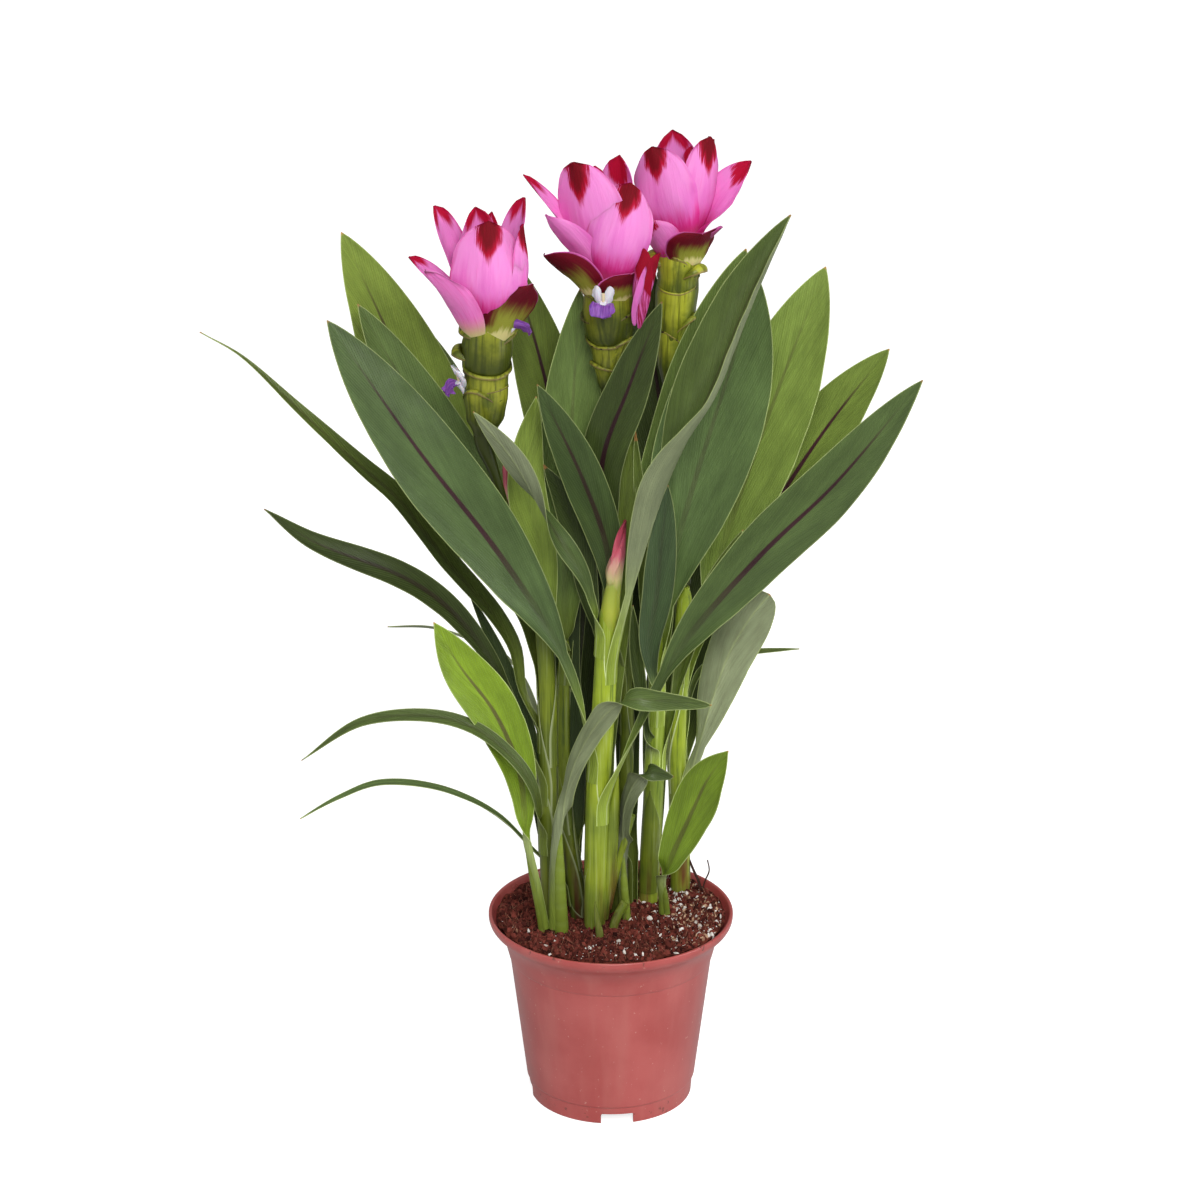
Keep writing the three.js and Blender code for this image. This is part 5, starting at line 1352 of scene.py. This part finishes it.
def makeStemSkin():
    c = stemColours
    material = startMaterial("stemSkin", 0.4, Specular_IOR_Level=0.3)
    height = addNode("ShaderNodeSeparateXYZ", {0: readPlace()}, 2)
    streaks = makeNoise(1, detail=5, roughness=0.65, stretch=(460, 460, 11))
    patches = makeNoise(24, detail=3)
    skin = blendColours(mapRange(patches, 0.35, 0.7), c["green"], c["yellow"])
    skin = blendColours(mapRange(streaks, 0.5, 0.72, 0, 0.7), skin, c["pale"])
    skin = blendColours(mapRange(streaks, 0.5, 0.3, 0, 0.75), skin, c["deep"])
    flush = mapRange(height, 0.168, 0.112) * readValue("flush")
    flush *= mapRange(makeNoise(1, detail=3, stretch=(160, 160, 12)), 0.42, 0.62)
    skin = blendColours(flush, skin, c["flush"])
    rim = mapRange(abs(readValue("across")), 0.86, 0.97)
    rim *= readValue("kind")
    skin = blendColours(rim * 0.8, skin, c["margin"])
    # painted light and shade: each stem's light value, with painted shade darkening it towards the soil
    skin = lighten(skin, readValue("light") * mapRange(height, 0.12, 0.26, 0.68, 1.1))
    return finishMaterial(material, skin, streaks, 0.3, 0.8)


bractColours = {"light": (0.88, 0.25, 0.63), "lilac": (0.80, 0.16, 0.54), "magenta": (0.72, 0.03, 0.25),
                "cream": (0.56, 0.48, 0.20), "olive": (0.24, 0.25, 0.030), "mauve": (0.92, 0.22, 0.58),
                "maroon": (0.10, 0.001, 0.008), "crimson": (0.44, 0.002, 0.028),
                "dark": (0.15, 0.0005, 0.006), "blotchFrom": 0.815}


def makeBractSkin():
    c = bractColours
    material = startMaterial("bractSkin", 0.5, Specular_IOR_Level=0.17, Subsurface_Weight=0.35,
                             Subsurface_Scale=0.004, Subsurface_Radius=(1, 0.4, 0.75))
    side = readValue("across")
    spread = abs(side)
    share, inside, kind = readValue("share"), readValue("upper"), readValue("kind")
    outside = 1 - inside
    aside = side * readValue("half")
    along = readValue("along")
    lanes = makeNoise(1, detail=4, roughness=0.6, vector=(side * 9, along * 0.035, inside * 5))
    broad = makeNoise(1, detail=2, vector=(side * 2.6, along * 0.02, 3))
    laneShift = lanes - 0.5
    broadShift = broad - 0.5
    paler = mapRange(share + laneShift * 0.6 + broadShift * 1.2, 0.25, 0.75)
    pink = blendColours(paler, c["lilac"], c["light"])
    # deeper magenta towards the foot and the edges: partly the bract's own colour, partly painted shade
    # where bracts overlap
    deeper = mapRange(share, 0.6, 0.08, 0, 1.2) + mapRange(spread, 0.72, 1, 0, 0.45)
    deeper += laneShift * 1.3 + broadShift * 0.9
    pink = blendColours(mapRange(deeper, 0.12, 1.05), pink, c["magenta"])
    plain = mapRange(kind, -0.2, -0.8)
    foot = mapRange(share, 0.26, 0.04) * mapRange(kind, 0.1, 0.4, 0.15, 0.9)
    pink = blendColours(foot, pink, c["cream"])
    rim = larger(share, spread * mapRange(share, 0, 0.35)) + laneShift * 0.4
    skirt = blendColours(mapRange(rim, 0.42, 0.74), c["olive"], c["maroon"])
    skirt = blendColours(mapRange(rim, 0.34, 0.2), skirt, c["cream"])
    skirt = blendColours(mapRange(spread, 0.93, 1, 0, 0.7), skirt, c["lilac"])
    far = mapRange(side, -0.75, -1) * mapRange(share, 0.6, 0.95)
    far = larger(far, mapRange(share, 0.93, 0.99))
    mauve = blendColours(far, c["mauve"], c["maroon"])
    mauve = blendColours(mapRange(laneShift, -0.02, 0.2, 0, 0.5), mauve, c["magenta"])
    mauve = blendColours(mapRange(share, 0.4, 0.08), mauve, c["cream"])
    colour = blendColours(mapRange(kind, 0.2, 0.45) * 0.75 * outside, pink, mauve)
    colour = blendColours(mapRange(kind, 0.6, 0.9) * outside, colour, skirt)
    tail = mapRange(spread, 0.3, 0, 0, -0.1)
    fork = mapRange(abs(spread - 0.36), 0.1, 0, 0, -0.035)
    fine = makeNoise(1, detail=3, roughness=0.7, vector=(aside * 1.4, along * 0.05, inside))
    fineShift = fine - 0.5
    teeth = laneShift * 0.16 + fineShift * 0.24
    edge = tail + fork + (teeth + c["blotchFrom"])
    over = share - edge
    width = mapRange(share, c["blotchFrom"] - 0.1, c["blotchFrom"] + 0.04, 2, 7.2)
    width += broadShift * 4
    width += fineShift * 9
    aimed = mapRange(abs(aside) - width, 1, -1.4)
    blotch = mapRange(over, -0.055, 0.03) * aimed
    inner = mapRange(share + laneShift * 0.12 - abs(spread - 0.6) * 0.22, 0.76, 0.86)
    inner *= mapRange(kind, 0.1, 0.04)
    inner = larger(inner, mapRange(kind, 0.04, 0.1) * blotch * mapRange(kind, 0.3, 0.2))
    blotch = blotch * outside + inner * inside
    blotch *= (1 - plain) * larger(inside, mapRange(kind, 0.45, 0.1))
    deepen = mapRange(over, 0.01, 0.11) * mapRange(abs(aside), 6.5, 3.5, 0.15, 1)
    deepen = calculate("MULTIPLY_ADD", fineShift, 1.4, deepen, clamp=True)
    crimson = blendColours(deepen, c["crimson"], c["dark"])
    crimson = blendColours(inside, crimson, c["crimson"])
    colour = blendColours(blotch, colour, crimson)
    rolled = fineShift * 1.6 + mapRange(kind, 2.2, 2.4, 0.55, -0.25)
    rolled = larger(rolled, mapRange(share - side * 0.2, 0.5, 0.75))
    wine = blendColours(0.55, c["crimson"], c["dark"])
    strip = blendColours(mapRange(rolled, 0.3, 0.75), c["lilac"], wine)
    colour = blendColours(mapRange(kind, 1.4, 1.9), colour, strip)
    dull = larger(blotch, mapRange(kind, 0.6, 0.9) * outside)
    return finishMaterial(material, colour, lanes * 1.5 + fine, 0.3, 0.8, mapRange(dull, 0, 1, 0.48, 0.75))


# light is painted light and shade on each head's cone
spikeColours = {"green": (0.12, 0.15, 0.012), "yellow": (0.33, 0.35, 0.028), "deep": (0.03, 0.042, 0.003),
                "lip": (0.26, 0.17, 0.07), "spot": (0.02, 0.002, 0.010),
                "light": {"head_left": 0.78, "head_middle": 0.68, "head_right": 1.25}}


def makeSpikeSkin():
    c = spikeColours
    material = startMaterial("spikeSkin", 0.36, Specular_IOR_Level=0.3)
    share, inside, kind = readValue("share"), readValue("upper"), readValue("kind")
    aside = readValue("across") * readValue("half")
    pouch = mapRange(kind, -0.9, -0.5)
    lanes = makeNoise(1, detail=3, vector=(aside * 0.5, share * 1.6, kind))
    patches = makeNoise(60, detail=4, roughness=0.6)
    fullest = mapRange(abs(readValue("across")), 0.7, 0.1, 0, 0.35)
    level = patches + fullest * mapRange(share, 0.3, 0.8)
    skin = blendColours(mapRange(level, 0.42, 0.8), c["green"], c["yellow"])
    skin = blendColours(mapRange(lanes, 0.54, 0.34, 0, 0.6), skin, c["deep"])
    # painted shadow: pouches darken towards their foot, under the rim above, and the axis towards its
    # lower end
    skin = blendColours(mapRange(share, 0.62, 0.12, 0, 0.9), skin, c["deep"])
    ragged = (patches - 0.5) * 0.1 + share
    lip = mapRange(ragged, 0.95, 1) * pouch
    skin = blendColours(lip * 0.7, skin, c["lip"])
    spots = mapRange(makeNoise(330, detail=1), 0.6, 0.64)
    spots = spots * pouch * mapRange(ragged, 0.72, 0.86)
    spots *= mapRange(makeNoise(48, detail=1), 0.5, 0.56)
    skin = blendColours(spots, skin, c["spot"])
    # painted shade on the inner sides of the pouches, and on the axis and stalk
    skin = blendColours(inside * 0.5, skin, c["deep"])
    skin = blendColours(mapRange(kind, -0.5, -0.9, 0, 0.6), skin, c["deep"])
    # the head's painted light and shade over the whole cone
    skin = lighten(skin, readValue("light"))
    return finishMaterial(material, skin, lanes, 0.5, 0.8)


flowerColours = {"white": (0.70, 0.68, 0.74), "lilac": (0.46, 0.30, 0.56), "purple": (0.14, 0.035, 0.26),
                 "violet": (0.28, 0.10, 0.44), "cream": (0.72, 0.62, 0.40)}


def makeFlowerSkin():
    c = flowerColours
    material = startMaterial("flowerSkin", 0.5, Specular_IOR_Level=0.25, Subsurface_Weight=0.2,
                             Subsurface_Scale=0.001)
    kind, share = readValue("kind"), readValue("share")
    aside = readValue("across") * readValue("half")
    lanes = makeNoise(1, detail=3, vector=(aside * 1.6, share * 1.2, kind))
    white = blendColours(mapRange(lanes, 0.5, 0.7, 0, 0.5), c["white"], c["lilac"])
    purple = blendColours(mapRange(lanes, 0.35, 0.65), c["purple"], c["violet"])
    purple = blendColours(mapRange(share, 0.3, 0, 0, 0.7), purple, c["lilac"])
    colour = blendColours(mapRange(kind, 0.6, 0.9), white, purple)
    cream = mapRange(kind, 0.3, 0.45) * mapRange(kind, 0.7, 0.55)
    colour = blendColours(cream, colour, c["cream"])
    return finishMaterial(material, colour, lanes, 0.2)


budColours = [(0.0, (0.26, 0.33, 0.03)), (1.0, (0.20, 0.012, 0.03)), (0.26, (0.42, 0.47, 0.05)),
              (0.44, (0.32, 0.38, 0.05)), (0.52, (0.62, 0.54, 0.24)), (0.63, (0.62, 0.34, 0.26)),
              (0.70, (0.60, 0.13, 0.18)), (0.86, (0.52, 0.07, 0.12))]


def makeBudSkin():
    material = startMaterial("budSkin", 0.42, Subsurface_Weight=0.15, Subsurface_Scale=0.0012)
    streaks = makeNoise(1, detail=3, stretch=(500, 500, 40))
    level = (streaks - 0.5) * 0.12 + readValue("share")
    ramp = addNode("ShaderNodeValToRGB", {0: level})
    stops = ramp.socket.node.color_ramp.elements
    for k, (place, colour) in enumerate(budColours):
        stop = stops[k] if k < 2 else stops.new(place)
        stop.position = place
        stop.color = (*colour, 1)
    return finishMaterial(material, ramp, streaks, 0.3, 0.7)


potColours = {"clay": (0.40, 0.062, 0.056), "warm": (0.48, 0.098, 0.090), "chalk": (0.50, 0.15, 0.13),
              "dust": (0.62, 0.36, 0.30), "dirt": (0.10, 0.03, 0.02)}


def makePotSkin():
    c = potColours
    material = startMaterial("potSkin", 0.36, Specular_IOR_Level=0.6, Coat_Weight=0.2)
    cloud = makeNoise(26, detail=4)
    flow = makeNoise(1, detail=3, stretch=(70, 70, 6))
    skin = blendColours(mapRange(cloud, 0.35, 0.7), c["clay"], c["warm"])
    skin = blendColours(mapRange(flow, 0.45, 0.75, 0, 0.4), skin, c["chalk"])
    dust = mapRange(makeNoise(480, detail=2), 0.69, 0.76)
    skin = blendColours(dust * 0.5, skin, c["dust"])
    height = addNode("ShaderNodeSeparateXYZ", {0: readPlace()}, 2)
    soiled = mapRange(height, 0.022, 0) + mapRange(height, 0.098, 0.114)
    dirt = soiled * 0.14 + makeNoise(260, detail=4, roughness=0.6)
    skin = blendColours(mapRange(dirt, 0.75, 0.82, 0, 0.8), skin, c["dirt"])
    rough = flow * 0.1 + 0.26 + cloud * 0.18
    return finishMaterial(material, skin, makeNoise(700, detail=2), 0.06, 0.6, rough)


soilColours = {"dark": (0.045, 0.009, 0.006), "coir": (0.16, 0.036, 0.023), "fibre": (0.34, 0.11, 0.065)}


def makeSoilSkin():
    c = soilColours
    material = startMaterial("soilSkin", 0.95, Specular_IOR_Level=0.1)
    fine = makeNoise(900, detail=4, roughness=0.7)
    coarse = makeNoise(210, detail=3)
    skin = blendColours(mapRange(coarse, 0.35, 0.65), c["dark"], c["coir"])
    skin = blendColours(mapRange(fine, 0.6, 0.8, 0, 0.6), skin, c["fibre"])
    return finishMaterial(material, skin, fine, 1.2)


def makeBitSkin(name, low, high, roughness, pits):
    material = startMaterial(name, roughness, Specular_IOR_Level=0.15)
    skin = blendColours(readValue("shade"), low, high)
    grain = makeNoise(1400, detail=2)
    skin = blendColours(mapRange(grain, 0.55, 0.7, 0, pits), skin, low)
    return finishMaterial(material, skin, grain, 0.3)


def makeRhizomeSkin():
    material = startMaterial("rhizomeSkin", 0.8)
    bands = makeNoise(1, detail=3, stretch=(260, 60, 60))
    skin = blendColours(mapRange(bands, 0.4, 0.6), (0.38, 0.26, 0.13), (0.16, 0.09, 0.04))
    return finishMaterial(material, skin, bands, 1)


# The plant's pieces

leafSkin, stemSkin, bractSkin = makeLeafSkin(), makeStemSkin(), makeBractSkin()
spikeSkin, flowerSkin, budSkin = makeSpikeSkin(), makeFlowerSkin(), makeBudSkin()
print("finishes made")

clasp = leafLook["claspAngle"]
for name in stems:
    draft = newDraft()
    addStem(draft, name)
    for leaf in leaves.values():
        if leaf["stem"] == name:
            top = leaf["leaves"] - leafLook["claspLength"] + 2
            length = min(sheathLook["length"], top - soilLook["height"] + 6)
            addSheath(draft, name, top, length, leaf["side"], clasp, sheathLook["footWrap"],
                      sheathLook["lift"])
    makePiece(f"stem_{name}_skin", draft, stemSkin, "stem", [f"stem_{name}"], 40,
              flush=stemLook["flush"][name], light=stemLook["light"][name])
print("stems made")

draft = addSheath(newDraft(), **bareSheath, pointed=True)
makePiece("sheath_bare_skin", draft, stemSkin, "stem", ["sheath_bare"], 40, flush=1, light=1.2)

toneNames = ("stripe", "bright", "dry", "cool", "light")
for k, (name, leaf) in enumerate(leaves.items()):
    draft = addLeaf(newDraft(), leaf, rootOnStem(leaf), k)
    # the foot of each leaf takes its stem's painted light and shade
    makePiece(f"leaf_{name}_blade", draft, leafSkin, "leaf", [f"leaf_{name}"], 40,
              footLight=stemLook["light"][leaf["stem"]], **dict(zip(toneNames, leafTones[name])))
for k, (name, shoot) in enumerate({**youngShoots, **innerLeaves}.items()):
    draft = newDraft()
    addStalk(draft, shoot["stalk"])
    addLeaf(draft, shoot, rootOnStalk(shoot), k + 40)
    nodes = [name] if name in youngShoots else []
    # the inner leaves get painted shade at the foot
    makePiece(f"{name}_blade", draft, leafSkin, "leaf", nodes, 40, footLight=1 if nodes else 0.6,
              **dict(zip(toneNames, leafTones[name])))
for name, stations in spears.items():
    draft = addBar(newDraft(), stations, 24, 20, relief=ribbed(0.03, 9))
    makePiece(f"{name}_skin", draft, stemSkin, "stem", [name], 40, flush=0.3, light=1.2)
for name, stations in slimShoots.items():
    draft = addBar(newDraft(), stations, 40, 24, relief=ribbed(0.06, 3))
    makePiece(f"{name}_skin", draft, stemSkin, "stem", [], 40, flush=0.9, light=1.3)
print("leaves made")

for name, head in heads.items():
    makePiece(f"{name}_pouches", spikeDraft(head), spikeSkin, "spike", [f"{name}_spike"], 60,
              light=spikeColours["light"][name])
    makePiece(f"{name}_bracts", crownDraft(head), bractSkin, "crown", [f"{name}_crown"], 60)
draft = newDraft()
for k, bract in enumerate(rolledBract["parts"]):
    addBract(draft, Vector(rolledBract["foot"]), bract, 5 + k)
makePiece("bract_rolled_petal", draft, bractSkin, "crown", ["bract_rolled"], 60)
for name, flower in flowers.items():
    makePiece(f"{name}_petals", addFlower(newDraft(), flower), flowerSkin, "flower", [name], 60)
print("flower heads made")


def budPiece(name, node, draft, low, high):     # its colours run from one height to the other
    draft["values"] = [(v[0], (p.z / mm - low) / (high - low), *v[2:])
                       for p, v in zip(draft["points"], draft["values"])]
    makePiece(name, draft, budSkin, "bud", [node], 60)


draft = addBar(newDraft(), middleBud["spindle"], 30, 24)
for k, bract in enumerate(middleBud["bracts"]):
    addBract(draft, Vector(bract["foot"]), bract, k)
budPiece("bud_middle_scales", "bud_middle", draft, 284, 358)
budPiece("bud_left_scales", "bud_left", addBar(newDraft(), sideBud, 40, 20), 300, 400)

draft = addBar(newDraft(), rhizome, 60, 28, relief=ribbed(0.05, 3))
makePiece("rhizome_root", draft, makeRhizomeSkin(), "rhizome", ["rhizome"])

# Pot and soil

pot = potMesh()
pot.name = "pot_shell"
pot.materials.clear()
pot.materials.append(makePotSkin())
pot.shade_smooth()
pot.set_sharp_from_angle(angle=math.radians(35))
placePiece("pot_shell", pot, ["pot"])

soilPiece = makePiece("soil_bed", soilDraft(), makeSoilSkin(), "soil", ["soil"], 70)
print("pot and soil made")


def onSoil(place, normal):
    radius = math.hypot(place.x, place.y)
    return 1 if normal.z > 0.3 and 2 < radius < soilLook["rim"] - 1.5 and place.z > 100 else 0


def onPerlite(place, normal):               # more of it on the right and at the back
    rightBack = smooth(-10, 40, place.x + 0.6 * place.y)
    front = 0.25 * smooth(-20, -50, place.y)
    return onSoil(place, normal) * (0.06 + 1.2 * rightBack + front)


def onBark(place, normal):
    return onSoil(place, normal) * (0.02 + 1.3 * smooth(5, 50, place.x + 0.6 * place.y))


scatterTree = makeScatterTree()
crumbSkin = makeBitSkin("crumbSkin", (0.022, 0.004, 0.003), (0.20, 0.045, 0.032), 0.95, 0.5)
barkSkin = makeBitSkin("barkSkin", (0.20, 0.075, 0.045), (0.62, 0.42, 0.27), 0.9, 0.4)
fibreSkin = makeBitSkin("fibreSkin", (0.14, 0.048, 0.030), (0.34, 0.16, 0.10), 0.8, 0.2)
perliteSkin = makeBitSkin("perliteSkin", (0.55, 0.50, 0.45), (0.86, 0.84, 0.80), 0.9, 0.25)
looseBits = [
    ("crumbs_coarse", onSoil, crumbSkin, {
        "Bits per square metre": 110000, "Smallest": (0.0006, 0.0005, 0.0004),
        "Largest": (0.0026, 0.002, 0.0016), "Roughness": 1.2, "Subdivisions": 2, "Seed": 3}),
    ("crumbs_fine", onSoil, crumbSkin, {
        "Bits per square metre": 420000, "Smallest": (0.0003, 0.0002, 0.0002),
        "Largest": (0.001, 0.0008, 0.0007), "Roughness": 0.9, "Subdivisions": 1, "Seed": 8}),
    ("bark_pale", onBark, barkSkin, {
        "Bits per square metre": 70000, "Smallest": (0.0005, 0.0004, 0.0002),
        "Largest": (0.002, 0.0014, 0.0009), "Roughness": 1.1, "Subdivisions": 2, "Seed": 13}),
    ("fibres", onSoil, fibreSkin, {
        "Bits per square metre": 60000, "Smallest": (0.0012, 0.0001, 0.0001),
        "Largest": (0.004, 0.00016, 0.00016), "Bend": 0.9, "Long": True, "Seed": 5}),
    ("perlite_large", onPerlite, perliteSkin, {
        "Bits per square metre": 16000, "Smallest": (0.0006, 0.0005, 0.0004),
        "Largest": (0.0023, 0.002, 0.0016), "Roughness": 1.0, "Subdivisions": 2, "Seed": 21}),
    ("perlite_small", onPerlite, perliteSkin, {
        "Bits per square metre": 110000, "Smallest": (0.0002, 0.0002, 0.0002),
        "Largest": (0.0007, 0.0006, 0.0006), "Roughness": 0.8, "Subdivisions": 1, "Seed": 34}),
]


def scatterPiece(name, chance, finish, inputs):
    mesh = soilPiece.data.copy()
    storeValues(mesh, "chance", [chance(v.co / mm, v.normal) for v in mesh.vertices])
    piece = addObject(name, mesh)
    scatter = piece.modifiers.new("bits", "NODES")
    scatter.node_group = scatterTree
    sockets = {item.name: item.identifier for item in scatterTree.interface.items_tree
               if item.in_out == "INPUT"}
    for label, value in {**inputs, "Finish": finish}.items():
        scatter[sockets[label]] = value
    made = shapedMesh(piece)
    bpy.data.objects.remove(piece)
    placePiece(name, made)
    print(name, len(made.polygons), "faces")


for bits in looseBits:
    scatterPiece(*bits)

# Twigs

twigSkin = makeBitSkin("twigSkin", (0.02, 0.012, 0.01), (0.09, 0.03, 0.02), 0.8, 0.5)
for name, stations in twigs.items():
    makePiece(name, addBar(newDraft(), stations, 16, 8, relief=ribbed(0.2, 3)), twigSkin, "soil", [],
              shade=0.4)
print("bits made")

# Camera, lights and floor

lights = {
    "key": {"place": (0.35, -2.3, 1.9), "aim": (0, 0, 0.28), "size": (1.2, 0.9), "power": 41,
            "colour": (1, 0.99, 0.97)},
    "left": {"place": (-1.6, -0.9, 0.9), "aim": (0, 0, 0.25), "size": (0.9, 1.4), "power": 5,
             "colour": (1, 1, 1)},
    "right": {"place": (1.35, -0.35, 0.6), "aim": (0, 0, 0.2), "size": (0.5, 1.3), "power": 8,
              "colour": (0.97, 0.98, 1)},
    "top": {"place": (0.0, 0.1, 2.2), "aim": (0, 0, 0.2), "size": (1.6, 1.6), "power": 5,
            "colour": (1, 1, 1)},
}
studio = {"sky": (1, 1, 1), "skyStrength": 0.26, "sun": 0.8, "floor": (0.6, 0.6, 0.6), "floorGlow": 0.8,
          "floorReach": 8}

camera = addObject("camera", bpy.data.cameras.new("camera"))
camera.location = (-0.0062, -2.0, 1.075)
camera.rotation_euler = (math.radians(90 - 21.1), 0, 0)
camera.data.sensor_width, camera.data.lens = 36, 115.8
bpy.context.scene.camera = camera

for name, light in lights.items():
    lamp = bpy.data.lights.new(name, "AREA")
    lamp.shape, lamp.size, lamp.size_y, lamp.energy = "RECTANGLE", *light["size"], light["power"]
    lamp.color = light["colour"]
    holder = addObject(name, lamp)
    holder.location = light["place"]
    aim = Vector(light["aim"]) - Vector(light["place"])
    holder.rotation_euler = aim.to_track_quat("-Z", "Y").to_euler()

sun = addObject("sun", bpy.data.lights.new("sun", "SUN"))
sun.data.energy, sun.data.angle = studio["sun"], math.radians(50)
sun.rotation_euler = (math.radians(48), math.radians(8), 0)

world = bpy.data.worlds.new("studio")
bpy.context.scene.world = world
world.use_nodes = True
sky = world.node_tree.nodes["Background"]
sky.inputs[0].default_value = (*studio["sky"], 1)
sky.inputs[1].default_value = studio["skyStrength"]

floorMesh = bpy.data.meshes.new("floor")
reach = studio["floorReach"]
corners = [(-reach, -reach, 0), (reach, -reach, 0), (reach, reach, 0), (-reach, reach, 0)]
floorMesh.from_pydata(corners, [], [(0, 1, 2, 3)])
floorSkin = startMaterial("floorSkin", 0.9, Base_Color=(*studio["floor"], 1), Emission_Color=(1, 1, 1, 1))
glow = addNode("ShaderNodeLightPath", out="Is Camera Ray") * studio["floorGlow"]
wireInto(floorSkin.node_tree.nodes["Principled BSDF"].inputs["Emission Strength"], glow)
floorMesh.materials.append(floorSkin)
floor = addObject("floor", floorMesh)
floor.location.z = -0.0003
bpy.context.scene.view_settings.view_transform = "Standard"
